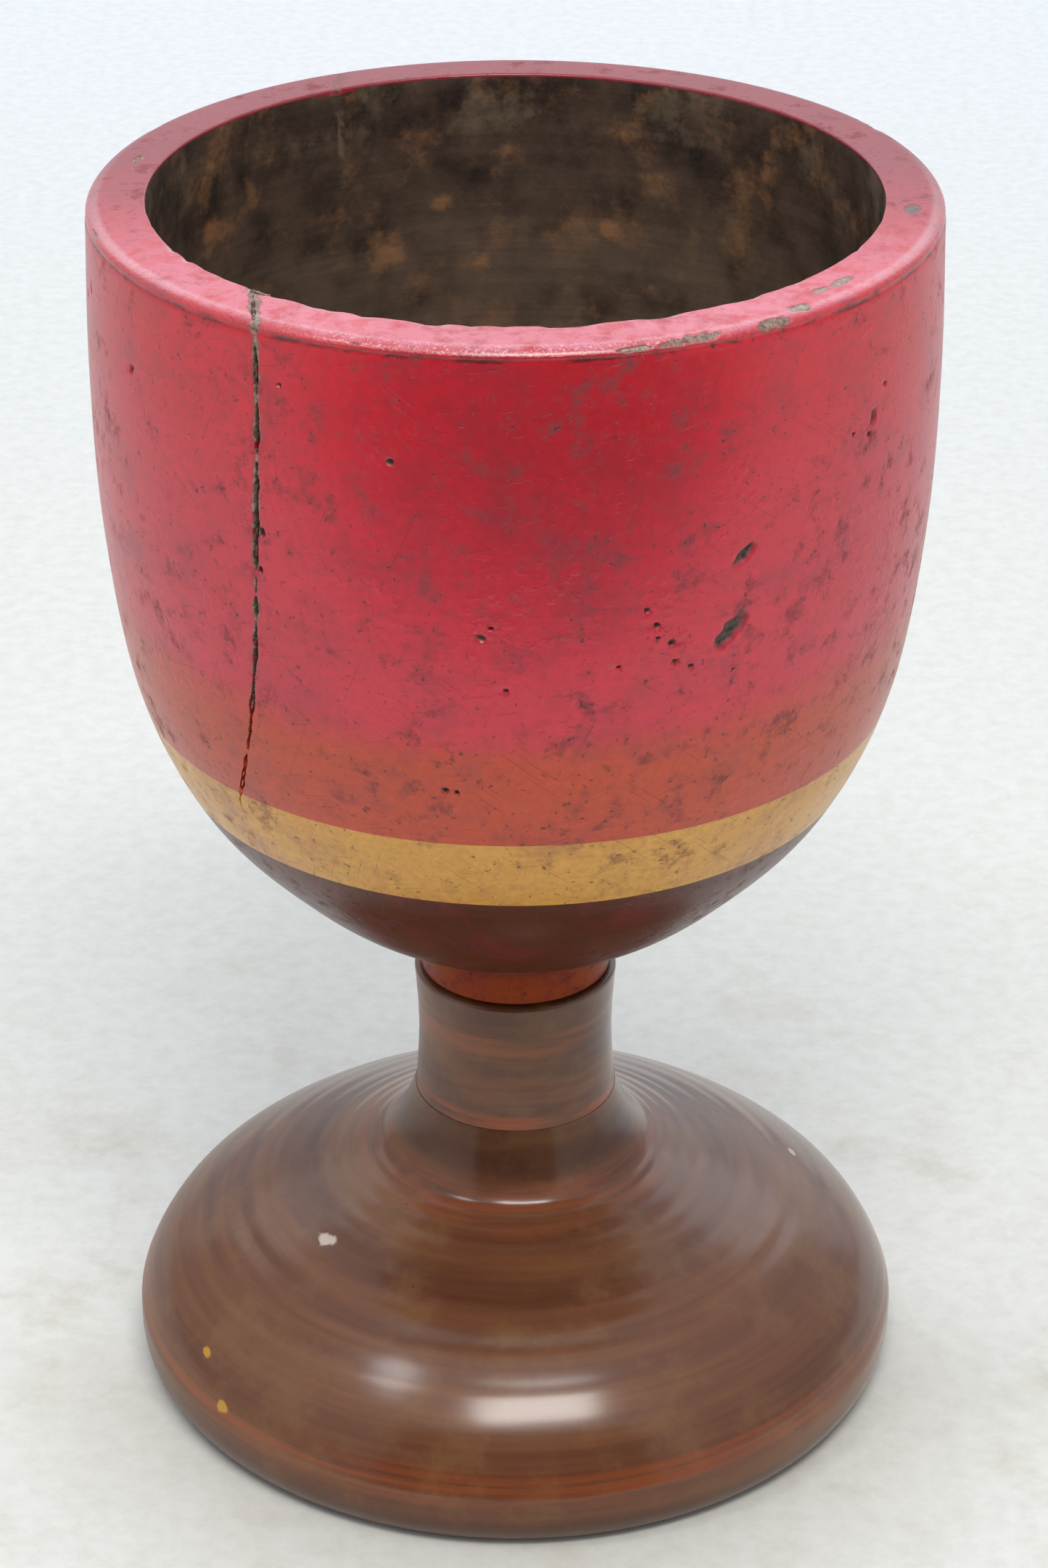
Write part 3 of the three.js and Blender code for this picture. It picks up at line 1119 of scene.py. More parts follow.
def dress(piece: bpy.types.Object, first: bpy.types.Material,
          others: Sequence[tuple[bpy.types.Material, Test]] = ()) -> None:
    """Gives a piece its materials.

    Args:
        piece: The piece.
        first: The material of all faces that no other claims.
        others: Further materials, each with a test that claims face middles.
    """
    piece.data.materials.clear()
    piece.data.materials.append(first)
    slots = np.zeros(len(piece.data.polygons), np.int32)
    for number, (material, claims) in enumerate(others, start=1):
        piece.data.materials.append(material)
        slots[claims(face_centres_of(piece))] = number
    piece.data.polygons.foreach_set("material_index", slots)


# ---- Sub-assemblies ----


@dataclass(frozen=True)
class Levels:
    """The heights and radii that the pieces share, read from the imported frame."""

    table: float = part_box("foot")[0].z
    foot_top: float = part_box("foot")[1].z
    foot_radius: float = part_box("foot")[1].x
    tenon_low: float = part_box("stem")[0].z
    tenon_high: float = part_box("stem")[1].z
    stem_radius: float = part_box("stem")[1].x
    seat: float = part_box("bowl")[0].z
    rim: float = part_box("bowl")[1].z
    belly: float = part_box("bowl")[1].x


LEVELS = Levels()


@dataclass(frozen=True)
class Bowl:
    """The deep cup with its turned neck, its painted bands, its two splits and its flaked lac."""

    wall_mm: float = 7.0
    rim_tuck_mm: float = 0.45
    lip_groove_mm: float = 0.07
    inner_edge_mm: float = 0.4
    neck_step_mm: float = 0.8
    neck_height_mm: float = 6.5
    neck_fillet_mm: float = 2.2
    floor_wood_mm: float = 8.0
    floor_rise_mm: float = 9.0
    socket_mm: float = 8.3
    glue_mm: float = 0.3
    lac_inside_mm: float = 1.2
    flats: int = 224
    wall_spacing_mm: float = 1.2
    inside_spacing_mm: float = 2.2
    split_inside_from_mm: float = 122.0
    over_rim_mm: float = 170.0
    shape: tuple[Point, ...] = (
        (0.218, 0.04), (0.442, 0.107), (0.713, 0.223), (0.893, 0.378), (0.978, 0.585), (1, 0.793),
    )
    splits: tuple[Split, ...] = (
        Split(((159.3, -28.2), (148, -28.1), (135, -28.6), (119, -29.2), (107.5, -30.3), (97, -32.0),
               (91, -32.8)),
              side=-1, slant=-0.06, width_mm=0.27, depth_mm=1.5, foot_mm=92, seed=3),
        Split(((159.3, -22.0), (140, -21.4), (120, -20.6)),
              side=1, slant=0.04, width_mm=0.3, depth_mm=0.3, foot_mm=126, seed=37, darkness=0.22),
    )
    pits: tuple[Pit, ...] = (
        Pit(28.6, 123.5, 2.4, 6.6, 47), Pit(30.2, 132.6, 1.6, 4.0, 38),
        Pit(16.8, 127.9, 0.8, 0.9), Pit(18.2, 125.8, 0.8, 0.8), Pit(20.3, 123.3, 1.0, 1.2),
        Pit(23.1, 120, 0.8, 0.8), Pit(18.4, 124.2, 0.6, 0.6), Pit(20.9, 121, 0.6, 0.7),
        Pit(13.3, 121.1, 0.5, 0.5), Pit(29.5, 118.3, 0.5, 0.5),
        Pit(52.6, 143.5, 1.1, 2.2, 70), Pit(51.8, 141.7, 0.9, 0.9), Pit(48.3, 142.6, 0.6, 0.6),
        Pit(55.2, 146.8, 0.6, 0.8), Pit(-4.3, 125.4, 0.9, 1.5, -20), Pit(-3, 126.6, 0.6, 0.7),
        Pit(-1.2, 118.7, 0.6, 0.8, 80), Pit(-9.5, 105.1, 0.9, 1), Pit(-7.9, 104.9, 0.7, 0.7),
        Pit(-15.6, 145.7, 0.9, 1.1), Pit(-58.9, 147.4, 0.8, 1.4, 60), Pit(-30.6, 152.5, 0.6, 0.6),
        Pit(-33.7, 134.5, 0.9, 1.5, 80), Pit(-34.2, 129.8, 0.7, 1.0, 90),
    )
    chips: tuple[Chip, ...] = (
        Chip(14.8, 158.7, 49.8, 4.6, 0.8), Chip(19.6, 158.9, 49.7, 2.6, 1.0),
        Chip(23.6, 159.0, 49.5, 4.6, 1.3), Chip(34.2, 158.9, 49.5, 5.4, 1.7),
        Chip(39.5, 159.3, 48.6, 2.4, 1.6), Chip(46, 159.3, 46.4, 2.6, 1.2),
        Chip(50.5, 159.3, 46.6, 4.2, 1.4), Chip(-40.5, 159.2, 43.2, 2.6, 2.2, 0.4),
        Chip(-8, 158.8, 49.8, 2.6, 0.4),
        Chip(-20, 158.8, 49.8, 3.6, 0.5), Chip(118, 159, 49.6, 4, 1.6), Chip(163, 158.9, 49.7, 6, 1.4),
        Chip(-118, 159, 49.6, 3, 1.2), Chip(-75, 158.9, 49.8, 3.2, 0.8), Chip(-103, 159.3, 46, 2.8, 1.2),
    )
    rim_spot: Chip = Chip(81.8, 159.3, 46.1, 3.4, 2.0, 0.15)
    pit_depth_mm: float = 0.42
    flake_depth_mm: float = 0.13
    spot_depth_mm: float = 0.12
    nick_depth_mm: float = 0.3
    nick_reach_mm: float = 1.1
    back_pits: int = 26
    seed: int = 11

    @property
    def rim_radius(self) -> float:
        """The radius of the rim's outside."""
        return LEVELS.belly - self.rim_tuck_mm * MM

    @property
    def inner_radius(self) -> float:
        """The radius of the cup's mouth."""
        return self.rim_radius - self.wall_mm * MM

    def outside(self) -> list[Point]:
        """Draws the outside from the cove above the neck to the lip under the rim."""
        root = (LEVELS.stem_radius + (self.neck_fillet_mm - self.neck_step_mm) * MM,
                LEVELS.seat + self.neck_height_mm * MM)
        rise = LEVELS.rim - root[1]
        spread = LEVELS.belly - root[0]
        stations = [(root[0] + out * spread, root[1] + up * rise) for out, up in self.shape]
        line = smooth([root, *stations, (self.rim_radius, LEVELS.rim)])
        return [p for p in line if p[1] < LEVELS.rim - 3 * MM]

    def lip(self) -> list[Point]:
        """Draws the dirt line under the rim and the thin rolled lip above it."""
        radius, top = self.rim_radius, LEVELS.rim
        return smooth([
            (radius + 0.08 * MM, top - 2.3 * MM),
            (radius + 0.03 * MM, top - 1.8 * MM),
            (radius - self.lip_groove_mm * MM, top - 1.4 * MM),
            (radius - 0.02 * MM, top - 1.1 * MM),
            (radius - 0.16 * MM, top - 0.78 * MM),
            (radius - 0.52 * MM, top - 0.42 * MM),
            (radius - 1.05 * MM, top - 0.17 * MM),
            (radius - 1.7 * MM, top - 0.04 * MM),
            (radius - 2.4 * MM, top),
        ], 22)

    def inside(self, outside: Sequence[Point]) -> list[Point]:
        """Draws the cup's wall, one wall's thickness in, and the floor down to the axis.

        Args:
            outside: The outside's line.

        Returns:
            The line from just under the rim's inner edge to the axis.
        """
        floor = LEVELS.tenon_high + (self.glue_mm + self.floor_wood_mm) * MM
        offset = shifted(outside, lambda run, point: -self.wall_mm * MM)[1:-1]
        wall = [p for p in offset if p[1] > floor + self.floor_rise_mm * MM][::-1]
        wall = [(self.inner_radius, LEVELS.rim - self.inner_edge_mm * MM), *wall]
        (above_x, above_z), (last_x, last_z) = wall[-2], wall[-1]
        turn_in = (last_x + (above_x - last_x) * (floor - last_z) / (above_z - last_z), floor)
        return [*wall, *rounded(wall[-1], turn_in, (0, floor), 40)[1:]]

    def outline(self) -> list[Point]:
        """Draws the whole half section, from the socket's end round to the cup's floor."""
        socket, seat = self.socket_mm * MM, LEVELS.seat
        socket_top = LEVELS.tenon_high + self.glue_mm * MM
        neck = LEVELS.stem_radius - self.neck_step_mm * MM
        outside = self.outside()
        cove_low = (neck, outside[0][1] - self.neck_fillet_mm * MM)
        rim, mouth, edge = LEVELS.rim, self.inner_radius, self.inner_edge_mm * MM
        wall = evenly([*outside, self.lip()[0]], self.wall_spacing_mm * MM)
        wall = shifted(wall, Ripple(0.05, 3.4, 2))
        inside = shifted(evenly(self.inside(outside), self.inside_spacing_mm * MM), Ripple(0.12, 4.6, 7))
        return [
            *evenly([(0, socket_top), (socket, socket_top)], 4 * MM),
            *evenly([(socket, socket_top), (socket, seat)], 4 * MM)[1:],
            *evenly([(socket, seat), (neck, seat)], 1.3 * MM)[1:],
            *evenly([(neck, seat), cove_low], 0.7 * MM)[1:],
            *rounded(cove_low, (neck, outside[0][1]), outside[0])[1:],
            *wall[1:],
            *self.lip()[1:],
            *evenly([self.lip()[-1], (mouth + edge, rim)], 0.8 * MM)[1:],
            *rounded((mouth + edge, rim), (mouth, rim), (mouth, rim - edge), 4)[1:],
            *inside[1:],
        ]

    def all_pits(self) -> list[Pit]:
        """Gives the pits of the front and sides, and a seeded scatter of small ones round the back."""
        rng = random.Random(self.seed)
        found = list(self.pits)
        for _ in range(self.back_pits):
            width_mm = rng.uniform(0.45, 1.1)
            azimuth, height_mm = rng.uniform(75, 285), rng.uniform(100, 152)
            length_mm = width_mm * rng.uniform(1, 1.8)
            found.append(Pit(azimuth, height_mm, width_mm, length_mm, rng.uniform(0, 180)))
        return found

    def on_outside(self, places: Places) -> np.ndarray:
        """Tells which places carry lac: the outside, the rim and a little way down into the cup."""
        line = np.array(self.outside())
        middle = np.interp(places[:, 2], line[:, 1], line[:, 0]) - 0.5 * self.wall_mm * MM
        return (radii_of(places) > middle) | (places[:, 2] > LEVELS.rim - self.lac_inside_mm * MM)

    def pit_depths(self, places: Places) -> np.ndarray:
        """Gives from 0 to 1 how deep each place lies in a pit."""
        depth = np.zeros(len(places))
        outside = self.on_outside(places)
        for number, pit in enumerate(self.all_pits()):
            out = pit.distance(places)
            picks = np.flatnonzero((out < pit.reach) & outside)
            ragged = out[picks] * (1 + 0.35 * rough(places[picks], 0.8, 50 + number))
            depth[picks] = np.maximum(depth[picks], 1 - ramp(ragged, 0.45, 1.05))
        return depth

    def near_wear(self, margin_mm: float) -> Test:
        """Gives a test for the places where pits and chips need a finer mesh."""

        def test(places: Places) -> np.ndarray:
            outside = self.on_outside(places)
            close = np.zeros(len(places), bool)
            for pit in self.all_pits():
                close |= (pit.grown(margin_mm).distance(places) < 1.2) & outside
            for chip in (*self.chips, self.rim_spot):
                close |= chip.grown(margin_mm).weights(places, 0) > 0
            return close

        return test

    def refine_wear(self, piece: bpy.types.Object) -> None:
        """Cuts the mesh finer round the splits, the pits and the chips, in steps."""
        for split in self.splits:
            refine(piece, split.near(1.6, self.split_inside_from_mm), 2)
        refine(piece, self.near_wear(1.0), 2)
        refine(piece, self.splits[0].near(0.9, self.split_inside_from_mm), 1)
        refine(piece, self.splits[0].near(0.4, self.over_rim_mm), 1)
        refine(piece, self.near_wear(0.35), 1)

    def mouth_nicks(self, places: Places) -> np.ndarray:
        """Gives from 0 to 1 how worn the mouth's inner edge is at each place, most of all in front."""
        off_edge = np.hypot(radii_of(places) - self.inner_radius, places[:, 2] - LEVELS.rim)
        picks = np.flatnonzero(off_edge < self.nick_reach_mm * MM)
        front = 0.15 + 0.85 * ramp(-places[picks, 1], 0, 0.03)
        nicks = np.zeros(len(places))
        nicks[picks] = ramp(rough(places[picks], 2.4, 140), -0.1, 0.6) * front
        nicks[picks] *= 1 - ramp(off_edge[picks], 0, self.nick_reach_mm * MM)
        return nicks

    def wear(self, piece: bpy.types.Object) -> None:
        """Splits, pits and chips the turned bowl, and marks the wear for its material."""
        self.refine_wear(piece)
        places = places_of(piece)
        deepest_mm = self.splits[0].depth_mm
        split, bare, opened = (np.zeros(len(places)) for _ in range(3))
        for crack in self.splits:
            depth, edge = crack.weights(places)
            split, bare = np.maximum(split, depth), np.maximum(bare, edge)
            opened = np.maximum(opened, depth * crack.depth_mm / deepest_mm)
        flaked = np.max([chip.weights(places, 80 + i) for i, chip in enumerate(self.chips)], axis=0)
        pits = self.pit_depths(places)
        spot = self.rim_spot.weights(places, 99)
        nicks = self.mouth_nicks(places)
        sink(piece, "split_depth", opened, deepest_mm)
        sink(piece, "pit_depth", pits, self.pit_depth_mm)
        sink(piece, "flaked_depth", np.maximum(flaked, 0.5 * bare), self.flake_depth_mm)
        sink(piece, "spot_depth", spot, self.spot_depth_mm)
        sink(piece, "nick_depth", nicks, self.nick_depth_mm)
        level_off(piece, LEVELS.rim)
        mark(piece, Wear.SPLIT, split)
        mark(piece, Wear.PIT, np.maximum(pits, 0.85 * spot))
        mark(piece, Wear.BARE, np.maximum(bare, flaked))

    def build(self) -> bpy.types.Object:
        """Turns, wears and dresses the bowl.

        Returns:
            The finished piece.
        """
        piece = turn("turned_bowl", self.outline(), self.flats)
        self.wear(piece)
        finish_shading(piece)
        lac = RedLac(LEVELS.seat / MM, LEVELS.rim / MM, self.inner_radius / MM)
        dress(piece, lac.material("red_lac", 0.74), [
            (lac.material("low_lac", 0.35), lambda places: places[:, 2] < lac.gold_low_mm * MM),
            (lac.material("neck_lac", 0.1), lambda places: places[:, 2] < lac.neck_top_mm * MM),
            (OldWood().material(), lambda places: ~self.on_outside(places)),
            (CutWood().material("socket_wood"), self.is_socket),
        ])
        install(piece, "bowl")
        return piece

    def is_socket(self, places: Places) -> np.ndarray:
        """Tells which places are in the blind socket under the cup."""
        low = places[:, 2] < LEVELS.tenon_high + MM
        return low & (radii_of(places) < (self.socket_mm + 0.2) * MM)


@dataclass(frozen=True)
class Stem:
    """The spindle: the short grip that shows, and a sawn tenon at each end of it."""

    waist_mm: float = 12.45
    foot_end_mm: float = 12.9
    edge_mm: float = 0.7
    lower_tenon_mm: float = 9.0
    upper_tenon_mm: float = 8.0
    chamfer_mm: float = 0.8
    glue_mm: float = 0.3
    lac_fill_mm: float = 0.29
    kerf_depth_mm: float = 10.8
    kerf_head_mm: float = 2.8
    kerf_tip_mm: float = 1.4
    flats: int = 224

    def outline(self) -> list[Point]:
        """Draws the half section from the lower tenon's end to the upper one's."""
        low, high, top = LEVELS.tenon_low, LEVELS.tenon_high, LEVELS.seat - self.glue_mm * MM
        bottom = LEVELS.foot_top + (self.glue_mm - self.lac_fill_mm) * MM
        lower, upper, chamfer = self.lower_tenon_mm * MM, self.upper_tenon_mm * MM, self.chamfer_mm * MM
        radius, edge = LEVELS.stem_radius, self.edge_mm * MM
        side = smooth([(self.foot_end_mm * MM, bottom), (self.waist_mm * MM, (bottom + top) / 2),
                       (radius, top - edge)], 60)
        grip = shifted(evenly(side, 0.5 * MM), Ripple(0.09, 2.3, 4))
        return [
            *evenly([(0, low), (lower - chamfer, low)], 1.5 * MM),
            (lower, low + chamfer),
            *evenly([(lower, low + chamfer), (lower, bottom)], 4 * MM)[1:],
            *evenly([(lower, bottom), grip[0]], 1.2 * MM)[1:],
            *grip[1:],
            *rounded(grip[-1], (radius, top), (radius - edge, top))[1:],
            *evenly([(radius - edge, top), (upper, top)], 1.2 * MM)[1:],
            *evenly([(upper, top), (upper, high - chamfer)], 4 * MM)[1:],
            (upper - chamfer, high),
            *evenly([(upper - chamfer, high), (0, high)], 1.5 * MM)[1:],
        ]

    def build(self) -> bpy.types.Object:
        """Turns the spindle, saws its kerfs and dresses it.

        Returns:
            The finished piece.
        """
        piece = turn("turned_stem", self.outline(), self.flats)
        for end, facing, tenon_mm in ((LEVELS.tenon_low, 1, self.lower_tenon_mm),
                                      (LEVELS.tenon_high, -1, self.upper_tenon_mm)):
            cutter = tapered_block("kerf_cutter", end - facing * MM, facing, 2 * tenon_mm + 2,
                                   self.kerf_head_mm, self.kerf_tip_mm, self.kerf_depth_mm + 1)
            saw = piece.modifiers.new("kerf", "BOOLEAN")
            saw.operation = "DIFFERENCE"
            saw.object = cutter
            apply_modifier(piece, saw)
            bpy.data.objects.remove(cutter)
        finish_shading(piece)
        mark(piece, Wear.BARE, np.zeros(len(piece.data.vertices)))
        lac = BrownLac(light=paint(134, 82, 46), streak_strength=0.55)
        lac = lac.material("stem_lac", 1.1, [(38.8, 1.8, 0.8), (50, 2.2, 0.3)])
        dress(piece, lac, [(CutWood().material("tenon_wood", 0.35), self.is_tenon)])
        install(piece, "stem")
        return piece

    def is_tenon(self, places: Places) -> np.ndarray:
        """Tells which places are on the tenons and their shoulders."""
        shown = (places[:, 2] > LEVELS.foot_top + 0.1 * MM) & (places[:, 2] < LEVELS.seat - 0.1 * MM)
        return ~shown | (radii_of(places) < (self.lower_tenon_mm + 0.5) * MM)


@dataclass(frozen=True)
class Foot:
    """The domed foot with its flare, its turning lines and the hollow under it."""

    neck_mm: float = 13.0
    tuck_mm: float = 2.4
    ring_mm: float = 7.3
    recess_mm: float = 3.0
    recess_slope_mm: float = 2.5
    bore_mm: float = 9.3
    widest: float = 0.134
    fullness: float = 0.33
    flats: int = 288
    shape: tuple[Point, ...] = (
        (0.054, 0.876), (0.136, 0.782), (0.3, 0.705), (0.627, 0.568), (0.874, 0.395), (0.988, 0.228),
    )
    grooves: tuple[Groove, ...] = (
        Groove(17.6, 0.12, 0.6), Groove(19.4, 0.08, 0.5), Groove(21.6, 0.1, 0.7), Groove(24, 0.14, 0.9),
        Groove(26.4, 0.07, 0.6), Groove(29.5, 0.08, 1.0), Groove(33, 0.05, 0.8), Groove(36.4, 0.1, 1.1),
        Groove(40.9, 0.04, 0.8),
    )
    edge_line_mm: float = 8.4
    edge_line_depth_mm: float = 0.07
    edge_line_width_mm: float = 0.5
    marks: tuple[Chip, ...] = (
        Chip(-54.3, 24.6, 29.8, 2.7, 2.1, 0.5), Chip(150, 14, 46, 2.4, 1, 0.6),
        Chip(105, 20, 38.5, 1.6, 1.1, 0.5),
    )
    flecks: tuple[Chip, ...] = (
        Chip(-49, 9.2, 48.9, 2.4, 1.8, 0.6), Chip(-57, 12.9, 46.8, 1.9, 1.3, 0.6),
    )
    scuff_depth_mm: float = 0.08
    glows: tuple[tuple[float, float, float], ...] = ((8.5, 3.2, 0.4), (30, 3.0, 0.3))
    # Painted shade: darker rings on the flare under the stem, on the dome and low on the edge, and a dark
    # line at the bottom edge where the foot stands on the table.
    painted_shade_rings: tuple[tuple[float, float, float], ...] = (
        (34.2, 3.4, 0.5), (25.2, 1.6, 0.25), (2.5, 2.6, 0.4), (0, 0.9, 0.9),
    )

    def dome(self) -> list[Point]:
        """Draws the top, from the widest line up to the neck, with its turning lines."""
        height, radius, neck = LEVELS.foot_top, LEVELS.foot_radius, self.neck_mm * MM
        stations = [(neck + out * (radius - neck), up * height) for out, up in self.shape]
        line = smooth([(neck, height), *stations, (radius, self.widest * height)])[::-1]
        ripple = Ripple(0.05, 3.6, 6)

        def cut(run: float, point: Point) -> float:
            lines = sum(groove.cut(point) for groove in self.grooves)
            off = (point[1] / MM - self.edge_line_mm) / self.edge_line_width_mm
            return lines + ripple(run, point) - self.edge_line_depth_mm * MM * math.exp(-off * off)

        return shifted(evenly(line, 0.45 * MM), cut)

    def outline(self) -> list[Point]:
        """Draws the half section all round, from the bore's lower edge and back to it."""
        base = LEVELS.foot_radius - self.tuck_mm * MM
        bore, recess = self.bore_mm * MM, self.recess_mm * MM
        inner = base - self.ring_mm * MM
        widest = (LEVELS.foot_radius, self.widest * LEVELS.foot_top)
        ceiling = evenly([(bore, recess), (inner - self.recess_slope_mm * MM, recess)], 0.8 * MM)
        edge = rounded((base, 0), (widest[0], self.fullness * widest[1]), widest, 10)
        return [
            *shifted(ceiling, Ripple(0.18, 3.1, 8)),
            *evenly([ceiling[-1], (inner, 0)], 1.2 * MM)[1:],
            *evenly([(inner, 0), (base, 0)], 1.3 * MM)[1:],
            *edge[1:],
            *self.dome()[1:],
            (bore, LEVELS.foot_top),
            *evenly([(bore, LEVELS.foot_top), (bore, recess)], 5 * MM)[1:],
        ]

    def build(self) -> bpy.types.Object:
        """Turns, marks and dresses the foot.

        Returns:
            The finished piece.
        """
        piece = turn("turned_foot", self.outline(), self.flats, closed=True)
        refine(piece, self.near_marks, 3)
        places = places_of(piece)
        scuffs = np.max([m.weights(places, 120 + i) for i, m in enumerate(self.marks)], axis=0)
        flecks = np.max([m.weights(places, 130 + i) for i, m in enumerate(self.flecks)], axis=0)
        sink(piece, "scuff_depth", scuffs, self.scuff_depth_mm)
        mark(piece, Wear.BARE, scuffs)
        mark(piece, Wear.FLECK, flecks)
        finish_shading(piece)
        lac = BrownLac().material("foot_lac", 1.3, self.glows, self.painted_shade_rings)
        dress(piece, lac, [(CutWood().material("underside_wood", 0.45), self.is_underside)])
        install(piece, "foot")
        return piece

    def near_marks(self, places: Places) -> np.ndarray:
        """Tells which places are near a scuff or a fleck of paint."""
        grown = [chip.grown(1.0) for chip in (*self.marks, *self.flecks)]
        return np.max([chip.weights(places, 0) for chip in grown], axis=0) > 0

    def is_underside(self, places: Places) -> np.ndarray:
        """Tells which places are under the foot or in its bore."""
        radii = radii_of(places)
        low = places[:, 2] < (self.recess_mm + 0.1) * MM
        under = low & (radii < LEVELS.foot_radius - self.tuck_mm * MM)
        return under | (radii < (self.bore_mm + 0.2) * MM)


def tapered_block(name: str, start: float, facing: int, width_mm: float, head_mm: float, tip_mm: float,
                  length_mm: float) -> bpy.types.Object:
    """Makes a flat block that tapers along Z.

    Args:
        name: The piece's name.
        start: The height of its thick head.
        facing: 1 if it points up, -1 if it points down.
        width_mm: Its width along Y.
        head_mm: Its thickness at the head.
        tip_mm: Its thickness at the tip.
        length_mm: Its length.

    Returns:
        The block.
    """
    bpy.ops.object.select_all(action="DESELECT")
    size = (head_mm * MM, width_mm * MM, length_mm * MM)
    middle = start + facing * length_mm * MM / 2
    bpy.ops.mesh.primitive_cube_add(size=1, location=(0, 0, middle), scale=size)
    piece = bpy.context.object
    piece.name = name
    bpy.ops.object.transform_apply(location=True, rotation=True, scale=True)
    with editing(piece) as mesh:
        for vertex in mesh.verts:
            vertex.select_set((vertex.co.z - middle) * facing > 0)
        mesh.select_flush_mode()
        bmesh.update_edit_mesh(piece.data)
        bpy.ops.transform.resize(value=(tip_mm / head_mm, 1, 1), center_override=(0, 0, middle))
    return piece


@dataclass(frozen=True)
class Wedge:
    """A split wooden wedge in a tenon's kerf."""

    name: str
    node: str
    head: float
    facing: int
    width_mm: float
    head_mm: float = 2.2
    tip_mm: float = 0.8
    length_mm: float = 10.5
    bevel_mm: float = 0.12

    def build(self) -> bpy.types.Object:
        """Makes, eases and dresses the wedge.

        Returns:
            The finished piece.
        """
        piece = tapered_block(self.name, self.head, self.facing, self.width_mm, self.head_mm,
                              self.tip_mm, self.length_mm)
        ease = piece.modifiers.new("eased_edges", "BEVEL")
        ease.width = self.bevel_mm * MM
        ease.segments = 2
        apply_modifier(piece, ease)
        with editing(piece):
            bpy.ops.mesh.select_all(action="SELECT")
            bpy.ops.mesh.subdivide(number_cuts=7, ngon=False)
        places = places_of(piece)
        fibres = rough(places * (1, 1, 0.2), 0.9, 61) * 0.5 + 0.5
        sink(piece, "split_fibres", fibres, 0.06)
        finish_shading(piece)
        dress(piece, CutWood().material(self.name + "_wood", 0.15))
        install(piece, self.node)
        return piece


# ---- Studio ----


@dataclass(frozen=True)
class Lamp:
    """A soft light: a lit panel that faces one point."""

    name: str
    place: tuple[float, float, float]
    size: tuple[float, float]
    power: float
    tint: Colour
    aim: tuple[float, float, float] = (0.0, 0.0, 0.07)

    def build(self) -> None:
        """Hangs the light."""
        data = bpy.data.lights.new(self.name, "AREA")
        data.shape = "RECTANGLE"
        data.size, data.size_y = self.size
        data.energy = self.power
        data.color = self.tint[:3]
        lamp = bpy.data.objects.new(self.name, data)
        lamp.location = self.place
        lamp.rotation_mode = "QUATERNION"
        lamp.rotation_quaternion = (Vector(self.aim) - Vector(self.place)).to_track_quat("-Z", "Y")
        bpy.context.scene.collection.objects.link(lamp)


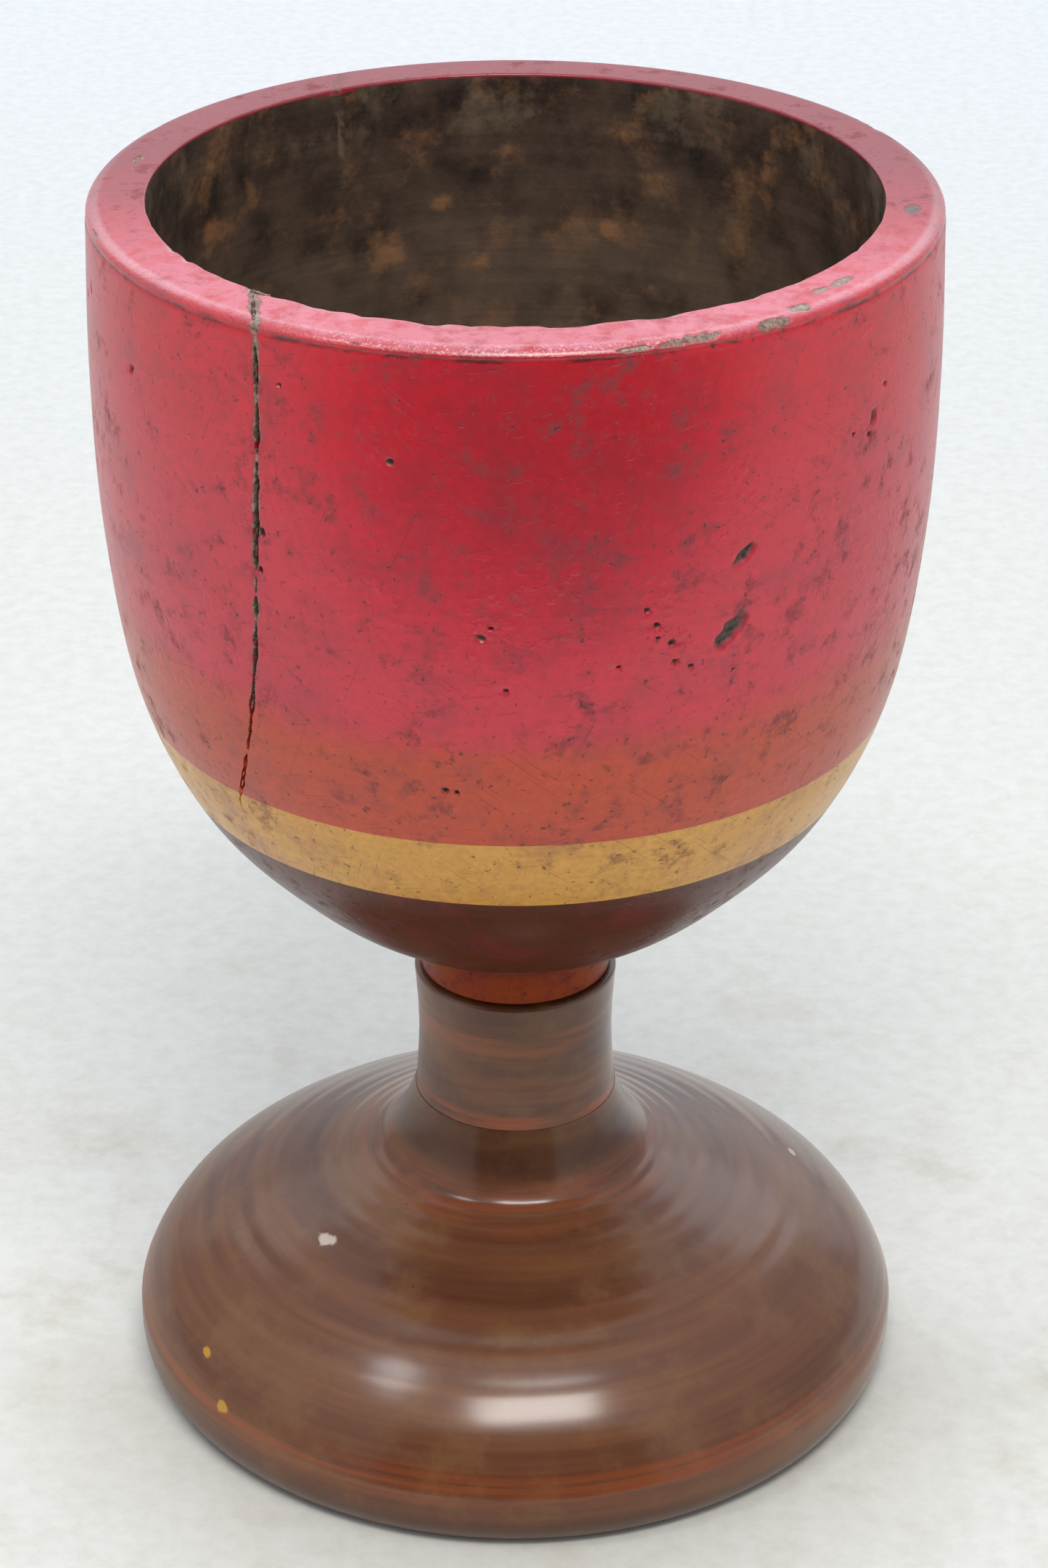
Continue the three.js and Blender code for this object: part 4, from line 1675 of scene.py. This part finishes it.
@dataclass(frozen=True)
class Studio:
    """The pale table, the soft lights, the dark cloths and the camera."""

    camera_back: float = 0.4565
    camera_above_rim: float = 0.1626
    camera_down: float = 27.81
    lens: float = 94.67
    shift: float = 0.0055
    sensor_mm: float = 36.0
    floor_size: float = 5.0
    floor_gap_mm: float = 0.02
    cloth: Colour = paint(30, 30, 32)
    lamps: tuple[Lamp, ...] = (
        Lamp("key_window", (0.08, -0.48, 0.945), (0.5, 0.2), 4.8, paint(255, 252, 248)),
        Lamp("left_window", (-0.455, -0.242, 0.927), (0.17, 0.17), 0.85, paint(250, 250, 252)),
        Lamp("left_wall", (-1.3, 0.1, 0.55), (1.6, 0.9), 0.5, paint(250, 250, 252)),
        Lamp("back_low", (0.0, 1.5, 0.45), (3.0, 0.7), 3.4, paint(240, 247, 255)),
        Lamp("back_high", (0.0, 1.4, 1.2), (3.0, 0.8), 9.6, paint(240, 247, 255)),
    )
    dark_from: float = 0.28
    dark_depth: float = 0.9
    dark_width: float = 0.58
    dark_middle: float = 0.08
    low_air: float = 0.48
    high_air: float = 0.95
    curtain_back: float = 0.62
    curtain_size: tuple[float, float] = (0.95, 0.56)

    def camera(self) -> None:
        """Sets the camera in front of the chalice, above its rim, looking down at it."""
        data = bpy.data.cameras.new("camera")
        data.lens = self.lens
        data.sensor_width = self.sensor_mm
        data.shift_x = self.shift
        data.clip_start = 0.02
        camera = bpy.data.objects.new("camera", data)
        camera.location = (0, -self.camera_back, LEVELS.rim + self.camera_above_rim)
        camera.rotation_euler = (math.radians(90 - self.camera_down), 0, 0)
        bpy.context.scene.collection.objects.link(camera)
        bpy.context.scene.camera = camera

    def floor(self) -> None:
        """Lays the pale table, a little mottled, brighter and bluer towards the back as painted light,
        with a painted shadow on it round the front of the foot.
        """
        bpy.ops.object.select_all(action="DESELECT")
        level = LEVELS.table - self.floor_gap_mm * MM
        bpy.ops.mesh.primitive_plane_add(size=self.floor_size, location=(0, 0, level))
        table = bpy.context.object
        table.name = "table"
        board = Board("pale_table")
        stains = board.step(board.lumps(26, 8, roughness=0.7), 0.48, 0.72)
        stains = board.product(stains, board.step(board.y, 0.16, 0.0))
        grain = board.lumps(3, 6, roughness=0.7)
        # Painted light: the table is brighter and bluer towards the back.
        colour = board.blend(board.step(board.y, 0.15, 0.65), paint(227, 228, 224), paint(235, 237, 240))
        # Painted shadow: a soft darker ring on the table round the front of the foot.
        near = board.product(board.step(board.radius, 0.085, 0.052), board.step(board.y, 0.01, -0.02))
        colour = board.blend(board.product(near, 0.5), colour, paint(198, 194, 184))
        colour = board.blend(board.product(stains, 0.6), colour, paint(200, 194, 180))
        soft = board.shades(grain, [(0.3, paint(240, 239, 236)), (0.6, WHITE)])
        colour = board.blend(0.7, colour, soft, "MULTIPLY")
        board.relief([(board.lumps(6, 5), 0.05)])
        dress(table, board.surface(colour, board.sum("ADD", stains, 0.5), Specular_IOR_Level=0.0))

    def dark_cloth(self, name: str, middle: tuple[float, float, float], size: tuple[float, float],
                   upright: bool) -> None:
        """Sets up a dark cloth before the chalice, which only the lac's reflections show.

        Args:
            name: The cloth's name.
            middle: Where its middle is.
            size: Its width and its depth or height.
            upright: Whether it hangs or lies on the table.
        """
        bpy.ops.object.select_all(action="DESELECT")
        turned = (math.radians(90) if upright else 0, 0, 0)
        bpy.ops.mesh.primitive_plane_add(size=1, location=middle, rotation=turned, scale=(*size, 1))
        cloth = bpy.context.object
        cloth.name = name
        bpy.ops.object.transform_apply(location=True, rotation=True, scale=True)
        board = Board(name)
        dress(cloth, board.surface(self.cloth, 0.9))
        cloth.visible_camera = False
        cloth.visible_diffuse = False
        cloth.visible_shadow = False

    def air(self) -> None:
        """Lights the room, more from the ceiling than from the walls."""
        world = bpy.data.worlds.new("room")
        world.use_nodes = True
        tree = world.node_tree
        direction = tree.nodes.new("ShaderNodeTexCoord").outputs["Generated"]
        parts = tree.nodes.new("ShaderNodeSeparateXYZ")
        tree.links.new(direction, parts.inputs[0])
        height = tree.nodes.new("ShaderNodeMapRange")
        height.inputs["To Min"].default_value = self.low_air
        height.inputs["To Max"].default_value = self.high_air
        tree.links.new(parts.outputs["Z"], height.inputs["Value"])
        sky = tree.nodes["Background"]
        sky.inputs["Color"].default_value = paint(236, 240, 245)
        tree.links.new(height.outputs[0], sky.inputs["Strength"])
        bpy.context.scene.world = world

    def build(self) -> None:
        """Sets up the studio."""
        self.camera()
        self.floor()
        lying = (self.dark_middle, -self.dark_from - self.dark_depth / 2, MM)
        self.dark_cloth("lying_cloth", lying, (self.dark_width, self.dark_depth), False)
        hanging = (0, -self.curtain_back, self.curtain_size[1] / 2)
        self.dark_cloth("hanging_cloth", hanging, self.curtain_size, True)
        self.air()
        for lamp in self.lamps:
            lamp.build()
        bpy.context.scene.view_settings.view_transform = "Standard"


def main() -> None:
    """Builds the studio and the chalice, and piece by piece."""
    logging.basicConfig(level=logging.INFO, format="%(name)s: %(message)s")
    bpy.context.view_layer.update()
    Studio().build()
    stem = Stem()
    Bowl().build()
    stem.build()
    Foot().build()
    lower_mm, upper_mm = (2 * (tenon_mm - WEDGE_INSET_MM) for tenon_mm in (stem.lower_tenon_mm,
                                                                           stem.upper_tenon_mm))
    Wedge("foot_tenon_wedge", "foot_wedge", LEVELS.tenon_low, 1, lower_mm).build()
    Wedge("bowl_tenon_wedge", "bowl_wedge", LEVELS.tenon_high, -1, upper_mm).build()


if __name__ == "__main__":
    main()
